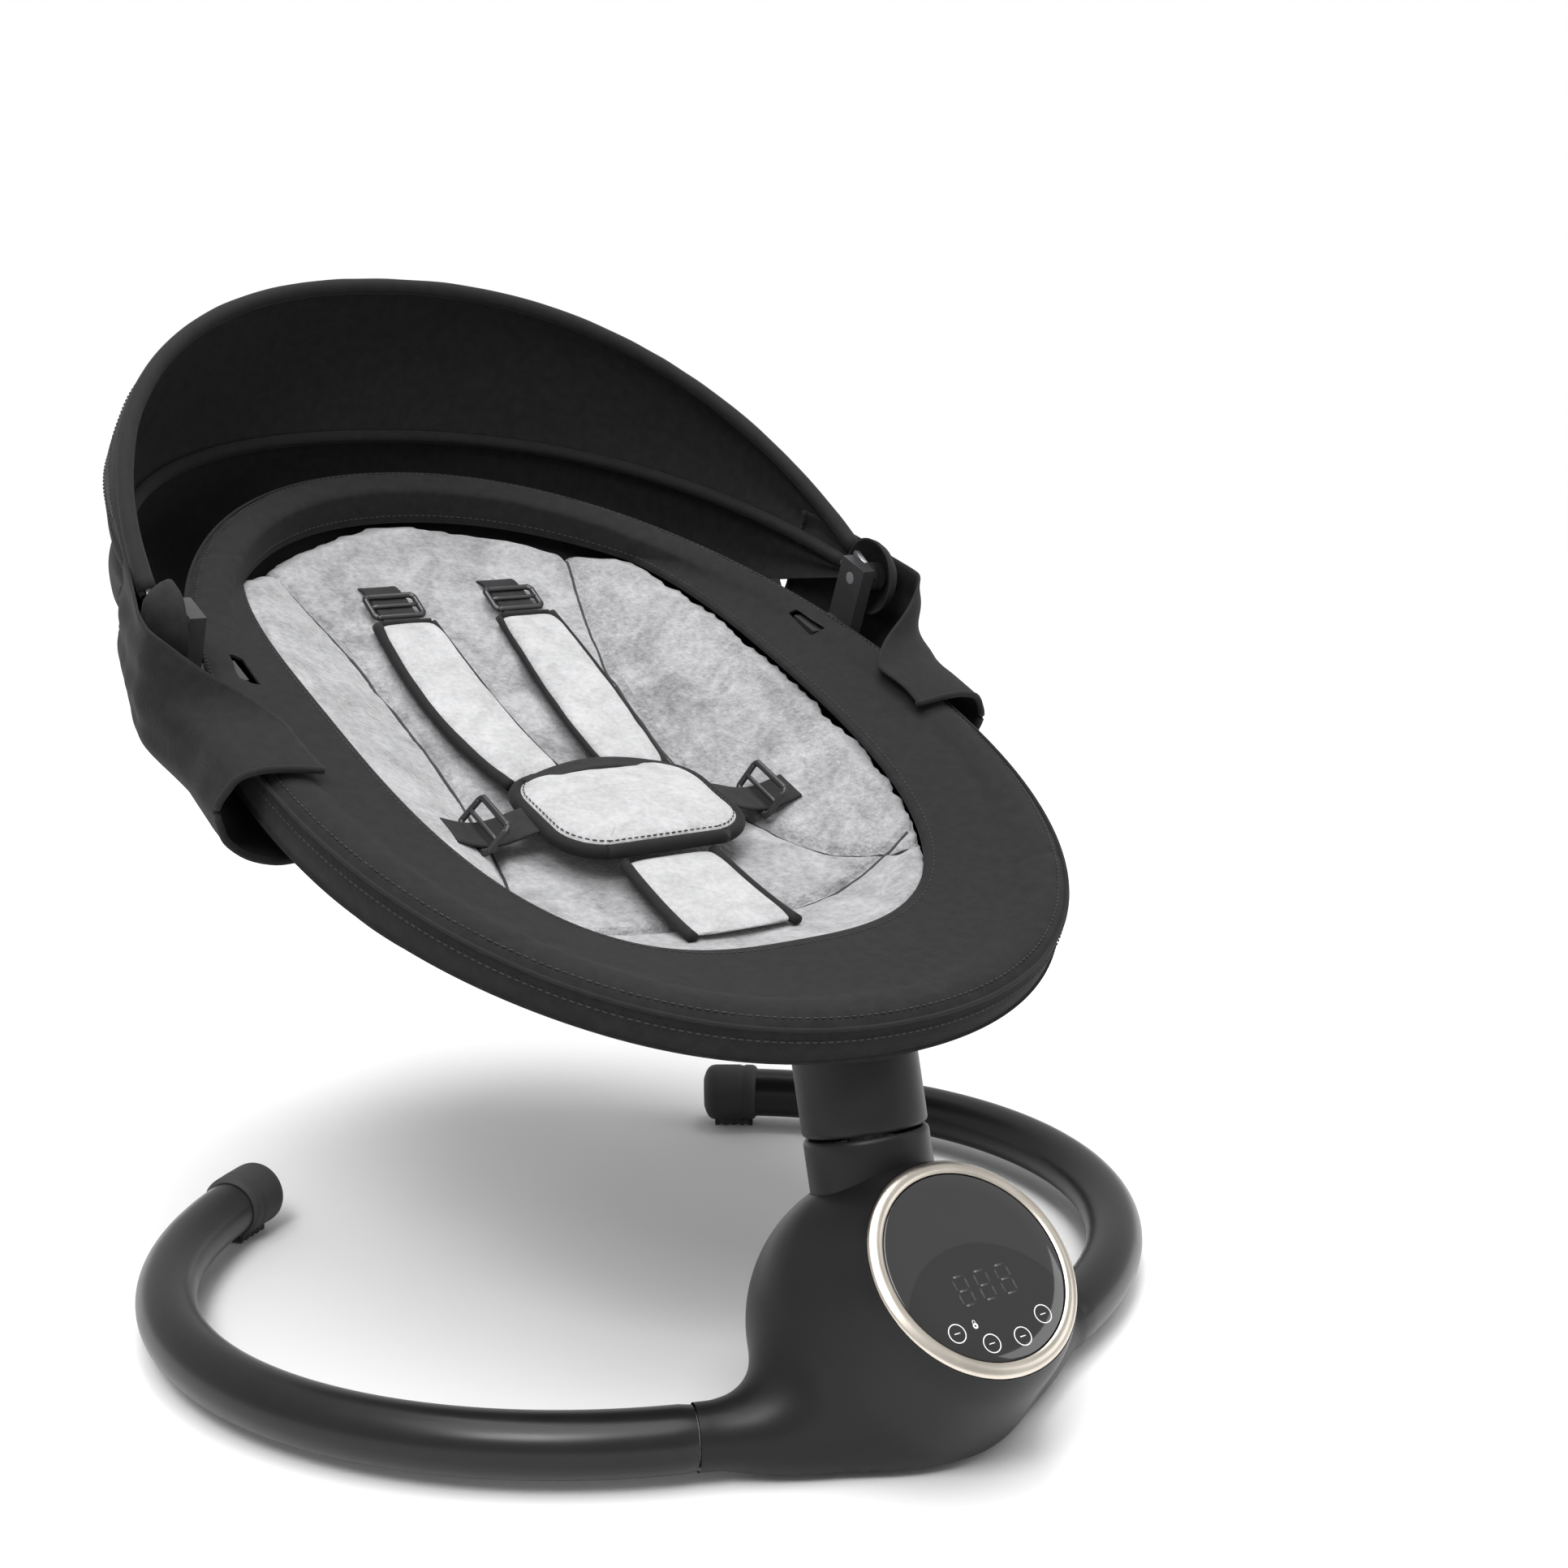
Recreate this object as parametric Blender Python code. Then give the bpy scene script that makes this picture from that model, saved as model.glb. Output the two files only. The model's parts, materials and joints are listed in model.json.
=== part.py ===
"""Electric baby swing: bent-tube base, motor housing with touch panel, leaning stem, oval seat and canopy.

Metres, +Z up. The seat's foot end points to -Y, its head end to +Y. Z = 0 is the floor under the rubber pads,
and X = Y = 0 is the middle of the housing's own foot pad.
"""

import math

import bmesh
import bpy
import numpy as np
from mathutils import Matrix, Vector

# ---- clearances -------------------------------------------------------------------------------------------
GAP = 0.0003  # between touching pieces
RUN = 0.0008  # between pieces that turn past each other
FABRIC_GAP = 0.0005  # between fabric and what it lies against

# ---- base -------------------------------------------------------------------------------------------------
FOOT_HEIGHT = 0.006  # rubber lifts tubes and housing off the floor
TUBE_RADIUS = 0.016
TUBE_WALL = 0.0015
BASE_HALF_WIDTH = 0.277  # to the tube's centreline
BASE_HALF_DEPTH = 0.238
BASE_CENTRE_Y = 0.214
BASE_ROUNDNESS = 2.0  # superellipse power, 2 is an ellipse
ARM_HALF_SPAN = 0.114  # where the housing's arms end and the tubes begin
LEG_END_ANGLE = 54.0  # degrees round the base oval
SPIGOT_LENGTH = 0.035  # each way from the arm's end
CAP_LENGTH = 0.031
CAP_WALL = 0.0018
CAP_PLAY = 0.0008  # the cap is modelled unstretched on a faceted tube
CAP_PAD_SIZE = (0.022, 0.026)

# ---- housing ----------------------------------------------------------------------------------------------
HOUSING_WALL = 0.0025
BALL_CENTRE = Vector((0, -0.010, 0.055))
BALL_RADIUS = 0.075
ARM_FLARE = 0.010  # how much thicker the arms are where they meet the ball
FLOOR_WALL = 0.005
FLOOR_HALF_SPAN = 0.068  # where the thick floor ends and the arms begin
COVER_RADII = (0.060, 0.044)
COVER_THICKNESS = 0.0025
COVER_LEDGE = 0.006
PAD_SIZE = (0.080, 0.050)

# ---- touch panel ------------------------------------------------------------------------------------------
PANEL_CENTRE = Vector((0, -0.0686, 0.1045))
PANEL_TILT = 45.7  # degrees that its face looks up from level
PANEL_RADIUS = 0.0554
RING_WIDTH = 0.0075
RING_DEPTH = 0.006
GLASS_THICKNESS = 0.0022
GLASS_RECESS = 0.0008
NOSE_DEPTH = 0.030  # centre of the bulge behind the panel
NOSE_RIM = 0.0018  # bulge that shows round the ring
BOARD_THICKNESS = 0.0016

# ---- stem -------------------------------------------------------------------------------------------------
STEM_ORIGIN = Vector((0, 0.0185, 0.1447))  # on the axis, at the swivel gap
STEM_LEAN = 15.0
STEM_RADIUS = 0.0315
STEM_WALL = 0.0027
COLLAR_DEPTH = 0.049
SHAFT_RADIUS = 0.010
BEARING_HEIGHT = 0.009
GEAR_TEETH = 60  # on the full circle that the sector is cut from
PINION_TEETH = 9
GEAR_PITCH_RADIUS = 0.0277
TOOTH_HALF_DEPTH = 0.0013
GEAR_THICKNESS = 0.006
MOTOR_RADIUS = 0.0125
MOTOR_LENGTH = 0.030
SWING_HALF_ANGLE = 15.0

# ---- seat -------------------------------------------------------------------------------------------------
SEAT_CENTRE = Vector((0, 0.2699, 0.3246))
SEAT_TILT = 21.1
SEAT_HALF_WIDTH = 0.2203  # to the cover's outer seam
SEAT_HALF_LENGTH = 0.3127
SEAT_ROUNDNESS = 2.12
SEAT_TAPER = -0.066  # the foot half is the wider one
RING_TUBE_RADIUS = 0.008
RING_TUBE_WALL = 0.0012
RING_INSET = 0.013  # tube centre in from the cover's outer seam
RING_DROP = 0.012  # and below it
RING_SPLIT_ANGLE = 4.0  # degrees round the oval
JOINER_PLAY = 0.0010
CLIP_PLAY = 0.0009  # round the ring tube in the canopy brackets
PLATE_THICKNESS = 0.003
HUB_BOLT_X = 0.014
HUB_BOLT_PLACE = -0.264
PLUSH_HALF_WIDTH = 0.1527
PLUSH_HALF_LENGTH = 0.2490
PLUSH_SHIFT = 0.0357
PLUSH_ROUNDNESS = 2.88
PLUSH_INSET = 0.0285  # least distance from the outer seam
PLUSH_EDGE_DROP = 0.0100
PLUSH_END_DROP = 0.0100
PLUSH_DEPTH = 0.058
PLUSH_THICKNESS = 0.016
COVER_SKIN = 0.003
BAND_SHOULDER = 0.0265  # the cover lies flat over the ring tube this far in
BELLY_FOOT_DEPTH = 0.135
BELLY_HEAD_DEPTH = 0.100
SIDE_BAND = 0.024  # the cover hangs straight down this far from its seam
FOOT_BAND = 0.020  # and this far at the foot end
STEM_HOLE_GAP = 0.004

# ---- harness ----------------------------------------------------------------------------------------------
WEBBING = (0.025, 0.0018)
SHOULDER_X = 0.0415
SHOULDER_TOP = 0.176
SHOULDER_PAD = (0.036, 0.007)
BELLY_PAD = (0.112, 0.082, 0.012)
BELLY_PAD_PLACE = -0.045
BELLY_PAD_LIFT = 0.016
CROTCH_WIDTH = 0.060
GLIDE = (0.031, 0.0065, 0.013)

# ---- canopy -----------------------------------------------------------------------------------------------
PIVOT_PLACE = 0.0718
PIVOT_HEIGHT = 0.0289
CANOPY_RADIUS = 0.2844
CANOPY_ROUNDNESS = 2.226
BOW_RADIUS = 0.0025
EYE_RADIUS = 0.009
EYE_THICKNESS = 0.005
PIN_RADIUS = 0.004
BRACKET_THICKNESS = 0.009
BRACKET_WIDTH = 0.024
FRONT_BOW_ANGLE = 18.2
REAR_BOW_ANGLE = -4.0
REAR_EDGE_ANGLE = -27.0
CANOPY_SKIN = 0.003
POCKET_SKIN = 0.0025
POCKET_SPAN = (-0.045, 0.125)

# ---- worked out -------------------------------------------------------------------------------------------
TUBE_Z = FOOT_HEIGHT + TUBE_RADIUS
TUBE_BORE = TUBE_RADIUS - TUBE_WALL
ARM_BORE = TUBE_RADIUS - HOUSING_WALL
STEM_BORE = STEM_RADIUS - STEM_WALL
GLASS_RADIUS = PANEL_RADIUS - RING_WIDTH - GAP
STEM_FRAME = Matrix.Translation(STEM_ORIGIN) @ Matrix.Rotation(math.radians(-STEM_LEAN), 4, "X")
PANEL_FRAME = Matrix.Translation(PANEL_CENTRE) @ Matrix.Rotation(math.radians(90 - PANEL_TILT), 4, "X")
SEAT_FRAME = Matrix.Translation(SEAT_CENTRE) @ Matrix.Rotation(math.radians(SEAT_TILT), 4, "X")
FLOOR_FRAME = Matrix.Identity(4)
PLATE_TOP = -RING_DROP - RING_TUBE_RADIUS - GAP
PLATE_BOTTOM = PLATE_TOP - PLATE_THICKNESS

COLOURS = {
    "housing_plastic": ((0.030, 0.030, 0.034), 0.42, 0.0),
    "black_paint": ((0.028, 0.028, 0.032), 0.38, 0.3),
    "rubber": ((0.020, 0.020, 0.021), 0.80, 0.0),
    "satin_nickel": ((0.62, 0.58, 0.52), 0.32, 1.0),
    "panel_glass": ((0.006, 0.006, 0.008), 0.06, 0.0),
    "board_green": ((0.02, 0.10, 0.04), 0.5, 0.0),
    "bright_steel": ((0.55, 0.55, 0.57), 0.30, 1.0),
    "gear_plastic": ((0.75, 0.74, 0.70), 0.5, 0.0),
    "black_fabric": ((0.035, 0.035, 0.038), 0.95, 0.0),
    "grey_plush": ((0.36, 0.36, 0.37), 0.95, 0.0),
    "webbing": ((0.020, 0.020, 0.022), 0.85, 0.0),
    "buckle_plastic": ((0.025, 0.025, 0.027), 0.35, 0.0),
}


# ---- making meshes ----------------------------------------------------------------------------------------
def clear_scene():
    for item in list(bpy.data.objects):
        bpy.data.objects.remove(item, do_unlink=True)


def material(slot):
    found = bpy.data.materials.get(slot)
    if found:
        return found
    colour, roughness, metallic = COLOURS[slot]
    made = bpy.data.materials.new(slot)
    made.use_nodes = True
    shader = made.node_tree.nodes["Principled BSDF"]
    shader.inputs["Base Color"].default_value = (*colour, 1)
    shader.inputs["Roughness"].default_value = roughness
    shader.inputs["Metallic"].default_value = metallic
    return made


def circle(radius, z, sides, frame=FLOOR_FRAME):
    turns = [2 * math.pi * i / sides for i in range(sides)]
    return [frame @ Vector((radius * math.cos(a), radius * math.sin(a), z)) for a in turns]


def loft(rings, loop=False):
    """Faces between rings of points. The end rings are filled, or joined to each other when loop is set."""
    count = len(rings[0])
    verts = [point for ring in rings for point in ring]
    faces = []
    spans = len(rings) if loop else len(rings) - 1
    for i in range(spans):
        a, b = i * count, (i + 1) % len(rings) * count
        for j in range(count):
            k = (j + 1) % count
            faces.append((a + j, a + k, b + k, b + j))
    if not loop:
        faces.append(tuple(range(count)))
        faces.append(tuple(range((len(rings) - 1) * count, len(rings) * count)))
    return verts, faces


def turned(profile, sides, frame, bored=False):
    """A turned piece from (radius, height) points; a bored piece's points go all the way round its section."""
    return loft([circle(radius, z, sides, frame) for radius, z in profile], loop=bored)


def sheet(top, bottom):
    """A closed skin between two grids of points."""
    rows, columns = len(top), len(top[0])
    verts = [p for row in top for p in row] + [p for row in bottom for p in row]
    under = rows * columns
    faces = []
    for i in range(rows - 1):
        for j in range(columns - 1):
            a = i * columns + j
            quad = (a, a + 1, a + columns + 1, a + columns)
            faces.append(quad)
            faces.append(tuple(under + v for v in reversed(quad)))
    edge = [j for j in range(columns)]
    edge += [i * columns + columns - 1 for i in range(1, rows)]
    edge += [(rows - 1) * columns + j for j in range(columns - 2, -1, -1)]
    edge += [i * columns for i in range(rows - 2, 0, -1)]
    for a, b in zip(edge, edge[1:] + edge[:1]):
        faces.append((a, b, under + b, under + a))
    return verts, faces


def box_shape(low, high, frame=FLOOR_FRAME):
    corners = [(low[0], low[1]), (high[0], low[1]), (high[0], high[1]), (low[0], high[1])]
    return loft([[frame @ Vector((x, y, z)) for x, y in corners] for z in (low[2], high[2])])


def sampled(curve, first, last, count, frame=FLOOR_FRAME):
    """Points along a curve of one value, each with the curve's direction there."""
    path = []
    for i in range(count):
        at = first + (last - first) * i / (count - 1)
        step = (last - first) * 1e-3
        along = frame @ curve(at + step) - frame @ curve(at - step)
        path.append((frame @ curve(at), along.normalized()))
    return path


def tube_rings(path, radius, up, sides):
    """Rings round a sampled path. radius is one value or one for each point; up is square to the path."""
    rings = []
    for i, (point, along) in enumerate(path):
        side = along.cross(up).normalized()
        over = side.cross(along)
        size = radius[i] if isinstance(radius, (list, tuple)) else radius
        turns = [2 * math.pi * (j + 0.5) / sides for j in range(sides)]
        rings.append([point + side * (size * math.cos(a)) + over * (size * math.sin(a)) for a in turns])
    return rings


def pipe(path, outer, inner, up, sides):
    """A hollow tube with open ends."""
    skin = tube_rings(path, outer, up, sides)
    bore = tube_rings(path, inner, up, sides)
    return loft(skin + bore[::-1], loop=True)


def add(name, shape, slot, parent=None, smooth=35.0):
    verts, faces = shape
    mesh = bpy.data.meshes.new(name)
    mesh.from_pydata([tuple(v) for v in verts], [], faces)
    work = bmesh.new()
    work.from_mesh(mesh)
    bmesh.ops.recalc_face_normals(work, faces=work.faces)
    work.to_mesh(mesh)
    work.free()
    mesh.shade_smooth()
    mesh.set_sharp_from_angle(angle=math.radians(smooth))
    mesh.materials.append(material(slot))
    item = bpy.data.objects.new(name, mesh)
    bpy.context.collection.objects.link(item)
    if parent:
        item.parent = parent
        item.matrix_parent_inverse = Matrix.Translation(-parent.location)
    return item


def joined(shapes):
    """Several separate solids as one mesh."""
    verts, faces = [], []
    for more_verts, more_faces in shapes:
        start = len(verts)
        verts += list(more_verts)
        faces += [tuple(start + v for v in face) for face in more_faces]
    return verts, faces


def tool(name, shape):
    item = add(name, shape, "rubber")
    item.hide_render = True
    item.display_type = "WIRE"
    return item


def cut(item, name, shape, operation="DIFFERENCE"):
    step = item.modifiers.new(name, "BOOLEAN")
    step.operation = operation
    step.solver = "EXACT"
    step.object = tool(name, shape)


def axis_empty(name, place):
    empty = bpy.data.objects.new(name, None)
    empty.location = place
    bpy.context.collection.objects.link(empty)
    return empty


# ---- base -------------------------------------------------------------------------------------------------
def power(value, exponent):
    return math.copysign(abs(value) ** exponent, value)


def base_point(degrees, side):
    angle = math.radians(degrees)
    x = side * BASE_HALF_WIDTH * power(math.cos(angle), 2 / BASE_ROUNDNESS)
    y = BASE_CENTRE_Y + BASE_HALF_DEPTH * power(math.sin(angle), 2 / BASE_ROUNDNESS)
    return Vector((x, y, TUBE_Z))


def base_front(x):
    share = (1 - (abs(x) / BASE_HALF_WIDTH) ** BASE_ROUNDNESS) ** (1 / BASE_ROUNDNESS)
    return Vector((x, BASE_CENTRE_Y - BASE_HALF_DEPTH * share, TUBE_Z))


SEAM_ANGLE = -math.degrees(math.acos((ARM_HALF_SPAN / BASE_HALF_WIDTH) ** (BASE_ROUNDNESS / 2)))
TUBE_START_ANGLE = SEAM_ANGLE + 0.1


def leg_path(first, last, side, count):
    return sampled(lambda degrees: base_point(degrees, side), first, last, count)


def degrees_for(length, degrees):
    """How far round the base oval a length reaches at this angle."""
    step = (base_point(degrees + 0.5, 1) - base_point(degrees - 0.5, 1)).length
    return length / step


def build_legs():
    up = Vector((0, 0, 1))
    cap_span = degrees_for(CAP_LENGTH, LEG_END_ANGLE)
    for side, word in ((-1, "left"), (1, "right")):
        path = leg_path(TUBE_START_ANGLE, LEG_END_ANGLE, side, 22)
        add(f"{word}_leg_tube", pipe(path, TUBE_RADIUS, TUBE_BORE, up, 12), "black_paint")
        build_spigot(word, side, up)
        build_end_cap(word, side, up, cap_span)


def build_spigot(word, side, up):
    """The plug that joins an arm of the housing to its tube, thinner in the arm."""
    inside = sampled(base_front, side * (ARM_HALF_SPAN - SPIGOT_LENGTH), side * ARM_HALF_SPAN, 5)
    span = degrees_for(SPIGOT_LENGTH, SEAM_ANGLE)
    outside = leg_path(TUBE_START_ANGLE + 0.2, SEAM_ANGLE + span, side, 5)
    radii = [ARM_BORE - 2 * GAP] * 5 + [TUBE_BORE - 2 * GAP] * 5
    add(f"{word}_leg_spigot", loft(tube_rings(inside + outside, radii, up, 12)), "gear_plastic")


def build_end_cap(word, side, up, cap_span):
    covered = leg_path(LEG_END_ANGLE - cap_span, LEG_END_ANGLE, side, 4)
    end, along = covered[-1]
    outer_radius = TUBE_RADIUS + CAP_PLAY + CAP_WALL
    inside = covered + [(end + along * GAP, along)]
    outside = covered + [(end + along * 0.003, along), (end + along * 0.005, along)]
    bore = tube_rings(inside, TUBE_RADIUS + CAP_PLAY, up, 16)
    skin = tube_rings(outside, [outer_radius] * 5 + [outer_radius - 0.002], up, 16)
    cap = add(f"{word}_end_cap", loft(bore[::-1] + skin), "rubber")
    middle = covered[2][0]
    heading = math.atan2(along.y, along.x)
    place = Matrix.Translation((middle.x, middle.y, 0)) @ Matrix.Rotation(heading, 4, "Z")
    long, wide = CAP_PAD_SIZE[1] / 2, CAP_PAD_SIZE[0] / 2
    top = TUBE_Z - TUBE_RADIUS - CAP_PLAY - 0.0003
    outline = []
    teeth = 5
    for i in range(teeth):
        left = -long + 2 * long * i / teeth
        right = left + 2 * long / teeth * 0.6
        outline += [(left, 0), (right, 0)]
        if i < teeth - 1:
            outline += [(right, 0.0012), (left + 2 * long / teeth, 0.0012)]
    outline += [(right, top), (-long, top)]
    rings = [[place @ Vector((x, y, z)) for x, z in outline] for y in (-wide * 0.5, wide * 0.5)]
    cut(cap, f"{word}_cap_pad", loft(rings), "UNION")


# ---- housing ----------------------------------------------------------------------------------------------
def nose_centre():
    return PANEL_FRAME @ Vector((0, 0, -NOSE_DEPTH))


def nose_radius():
    return math.hypot(NOSE_DEPTH - RING_DEPTH, PANEL_RADIUS + NOSE_RIM)


def ball_and_nose(inset, sides):
    """The skin round the ball and the nose, turned about the line through their centres."""
    reach = nose_centre() - BALL_CENTRE
    ball, nose = BALL_RADIUS - inset, nose_radius() - inset
    tangent = math.asin((ball - nose) / reach.length)
    outline = [(ball, -math.pi / 2 + (tangent + math.pi / 2) * share, 0) for share in (0.05, 0.2, 0.36, 0.52, 0.68, 0.84, 1)]
    outline += [(nose, tangent + (math.pi / 2 - tangent) * share, reach.length) for share in (0, 0.25, 0.5, 0.75, 0.95)]
    profile = [(size * math.cos(turn), size * math.sin(turn) + along) for size, turn, along in outline]
    frame = Matrix.Translation(BALL_CENTRE) @ reach.to_track_quat("Z", "X").to_matrix().to_4x4()
    return turned(profile, sides, frame)


def arm_sweep(inset, half_span, floor, sides):
    """The two arms as one bar, thicker towards the ball and flat where it would pass below the floor given."""
    path = sampled(base_front, -half_span, half_span, 19)
    sizes = [TUBE_RADIUS - inset + ARM_FLARE * ease(ARM_HALF_SPAN - abs(point.x), 0.006, 0.055) for point, _ in path]
    rings = tube_rings(path, sizes, Vector((0, 0, 1)), sides)
    for ring in rings:
        for point in ring:
            point.z = max(point.z, floor(point.x))
    return loft(rings)


def cavity_floor(x):
    return FOOT_HEIGHT + (FLOOR_WALL if abs(x) < FLOOR_HALF_SPAN else HOUSING_WALL)


def ellipse_plate(radii, centre_y, low, high, sides=28):
    turns = [2 * math.pi * i / sides for i in range(sides)]
    rows = []
    for z in (low, high):
        rows.append([Vector((radii[0] * math.cos(a), centre_y + radii[1] * math.sin(a), z)) for a in turns])
    return loft(rows)


def cover_screw_spots():
    across, along = COVER_RADII[0] - COVER_LEDGE / 2, COVER_RADII[1] - COVER_LEDGE / 2
    angles = (30, 150, 270)
    return [(across * math.cos(math.radians(a)), along * math.sin(math.radians(a))) for a in angles]


def build_housing():
    centre_y = BALL_CENTRE.y
    shell = add("housing_shell", ball_and_nose(0, 32), "housing_plastic", smooth=50)
    cut(shell, "housing_arms", arm_sweep(0, ARM_HALF_SPAN, lambda x: 0, 16), "UNION")
    cut(shell, "below_foot", box_shape((-0.2, -0.2, -0.1), (0.2, 0.2, FOOT_HEIGHT)))
    verts, faces = ball_and_nose(HOUSING_WALL, 32)
    for point in verts:
        point.z = max(point.z, FOOT_HEIGHT + FLOOR_WALL)
    cut(shell, "ball_cavity", (verts, faces))
    cut(shell, "arm_cavity", arm_sweep(HOUSING_WALL, ARM_HALF_SPAN + 0.004, cavity_floor, 16))
    land = -RING_DEPTH - GAP
    pocket = [(PANEL_RADIUS + GAP, land), (PANEL_RADIUS + GAP, 0.06)]
    cut(shell, "ring_recess", turned(pocket, 48, PANEL_FRAME))
    cut(shell, "carrier_hole", turned([(GLASS_RADIUS, -0.03), (GLASS_RADIUS, 0.01)], 40, PANEL_FRAME))
    hole = [(STEM_RADIUS + GAP, -0.05), (STEM_RADIUS + GAP, 0.03)]
    cut(shell, "collar_hole", turned(hole, 40, STEM_FRAME))
    inner = (COVER_RADII[0] - COVER_LEDGE, COVER_RADII[1] - COVER_LEDGE)
    cut(shell, "service_opening", ellipse_plate(inner, centre_y, -0.01, FOOT_HEIGHT + FLOOR_WALL + 0.004))
    rebate = (COVER_RADII[0] + GAP, COVER_RADII[1] + GAP)
    step = FOOT_HEIGHT + COVER_THICKNESS + GAP
    cut(shell, "cover_rebate", ellipse_plate(rebate, centre_y, -0.01, step))
    socket = socket_place()
    cut(shell, "socket_hole", turned([(0.0058, -0.02), (0.0058, 0.02)], 20, socket))

    cover = add("bottom_cover", ellipse_plate(COVER_RADII, centre_y, FOOT_HEIGHT, FOOT_HEIGHT + COVER_THICKNESS),
                "housing_plastic")
    holes = []
    for i, (x, y) in enumerate(cover_screw_spots()):
        place = Matrix.Translation((x, centre_y + y, 0))
        holes.append(turned([(0.0019, 0), (0.0019, 0.02)], 12, place))
        head = FOOT_HEIGHT - GAP
        outline = [(0.0036, head - 0.0022), (0.0036, head), (0.0016, head), (0.0016, head + 0.009)]
        add(f"cover_screw_{i + 1}", turned(outline, 12, place), "bright_steel")
    cut(cover, "cover_holes", joined(holes))
    cut(shell, "ledge_holes", joined(holes))
    half_x, half_y = PAD_SIZE[0] / 2, PAD_SIZE[1] / 2
    corner = 0.012
    outline = []
    for sx, sy, start in ((1, -1, -90), (1, 1, 0), (-1, 1, 90), (-1, -1, 180)):
        for turn in range(4):
            angle = math.radians(start + 30 * turn)
            outline.append((sx * (half_x - corner) + corner * math.cos(angle),
                            sy * (half_y - corner) + corner * math.sin(angle)))
    rings = [[Vector((x, y, z)) for x, y in outline] for z in (0, FOOT_HEIGHT - GAP)]
    pad = add("housing_foot_pad", loft(rings), "rubber")
    return pad


def socket_place():
    """Where the power socket sits, low at the back of the ball, its mouth facing +Y."""
    height = 0.030
    drop = BALL_CENTRE.z - height
    reach = BALL_CENTRE.y + math.sqrt(BALL_RADIUS**2 - drop**2)
    return Matrix.Translation((0, reach - 0.001, height)) @ Matrix.Rotation(math.radians(-90), 4, "X")


def build_socket():
    outline = [(0.0055, -0.012), (0.0055, 0.0005), (0.0032, 0.0005), (0.0032, -0.009)]
    add("power_socket", turned(outline, 20, socket_place()), "buckle_plastic")


# ---- touch panel ------------------------------------------------------------------------------------------
def build_panel():
    inner = PANEL_RADIUS - RING_WIDTH
    section = [(inner, -0.0036), (inner, -0.0012), (inner + 0.001, -0.0003), (inner + 0.004, 0),
               (PANEL_RADIUS - 0.001, -0.0012), (PANEL_RADIUS, -0.0028), (PANEL_RADIUS, -RING_DEPTH),
               (inner + 0.001, -RING_DEPTH), (inner + 0.001, -0.0036)]
    add("panel_ring", turned(section, 48, PANEL_FRAME, bored=True), "satin_nickel", smooth=25)
    top = -GLASS_RECESS
    edge = [(GLASS_RADIUS, top - GLASS_THICKNESS), (GLASS_RADIUS, top - 0.0004), (GLASS_RADIUS - 0.0006, top)]
    add("panel_glass", turned(edge, 48, PANEL_FRAME), "panel_glass")
    back = top - GLASS_THICKNESS - GAP
    tray = [(GLASS_RADIUS - 0.0004, back - 0.005), (GLASS_RADIUS - 0.0004, back), (0.040, back), (0.040, back - 0.003),
            (0.0385, back - 0.003), (0.0385, back - 0.005)]
    add("panel_carrier", turned(tray, 40, PANEL_FRAME, bored=True), "buckle_plastic")
    board_top = back - 0.0010
    board_low = board_top - BOARD_THICKNESS
    board = add("touch_board", turned([(0.0395, board_low), (0.0395, board_top)], 32, PANEL_FRAME), "board_green")
    display = box_shape((-0.020, -0.0195, board_low - 0.005), (0.020, -0.0045, board_top - 0.0005), PANEL_FRAME)
    cut(board, "display_module", display, "UNION")


def build_electronics():
    low = FOOT_HEIGHT + COVER_THICKNESS + GAP
    centre = BALL_CENTRE.y
    half_y = 0.016
    board = box_shape((-0.040, centre - half_y, low), (0.014, centre + half_y, low + BOARD_THICKNESS))
    board = add("main_board", board, "board_green")
    for i, (x, y, wide, tall) in enumerate(((-0.028, 0.004, 0.007, 0.010), (0.000, -0.004, 0.009, 0.006))):
        part = box_shape((x - wide, centre + y - wide, low + 0.001), (x + wide, centre + y + wide, low + tall))
        cut(board, f"board_part_{i}", part, "UNION")
    place = Matrix.Translation((0.031, centre, low))
    cone = [(0.013, 0), (0.013, 0.003), (0.008, 0.008), (0.008, 0.011)]
    add("speaker", turned(cone, 24, place), "buckle_plastic")


# ---- stem and swing drive ---------------------------------------------------------------------------------
def build_collar():
    flange = STEM_RADIUS + 0.0035
    low = -COLLAR_DEPTH
    web = low + 0.0025
    seat = low + 0.0025 + BEARING_HEIGHT + 2 * GAP
    bearing = BEARING_OUTER + GAP
    section = [(SHAFT_RADIUS + 0.004, low - 0.002), (flange, low - 0.002), (flange, low + 0.001),
               (STEM_RADIUS, low + 0.001), (STEM_RADIUS, -RUN), (STEM_BORE, -RUN), (STEM_BORE, seat),
               (bearing, seat), (bearing, web), (SHAFT_RADIUS + 0.004, web)]
    add("stem_collar", turned(section, 40, STEM_FRAME, bored=True), "housing_plastic")


BEARING_OUTER = 0.019


def ring_piece(name, inner, outer, low, high, slot, parent=None, sides=28):
    section = [(inner, low), (outer, low), (outer, high), (inner, high)]
    return add(name, turned(section, sides, STEM_FRAME, bored=True), slot, parent)


def gear_outline(pitch_radius, pitch, teeth, first_tooth):
    """Points round a toothed arc; pitch and the middle of the first tooth are in degrees."""
    points = []
    root, tip = pitch_radius - TOOTH_HALF_DEPTH, pitch_radius + TOOTH_HALF_DEPTH
    for i in range(teeth):
        for share, level in ((-0.27, root), (-0.09, tip), (0.09, tip), (0.27, root)):
            angle = math.radians(first_tooth + (i + share) * pitch)
            points.append((level * math.cos(angle), level * math.sin(angle)))
    return points


def plate_in(frame, outline, low, high):
    return loft([[frame @ Vector((x, y, z)) for x, y in outline] for z in (low, high)])


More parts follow.
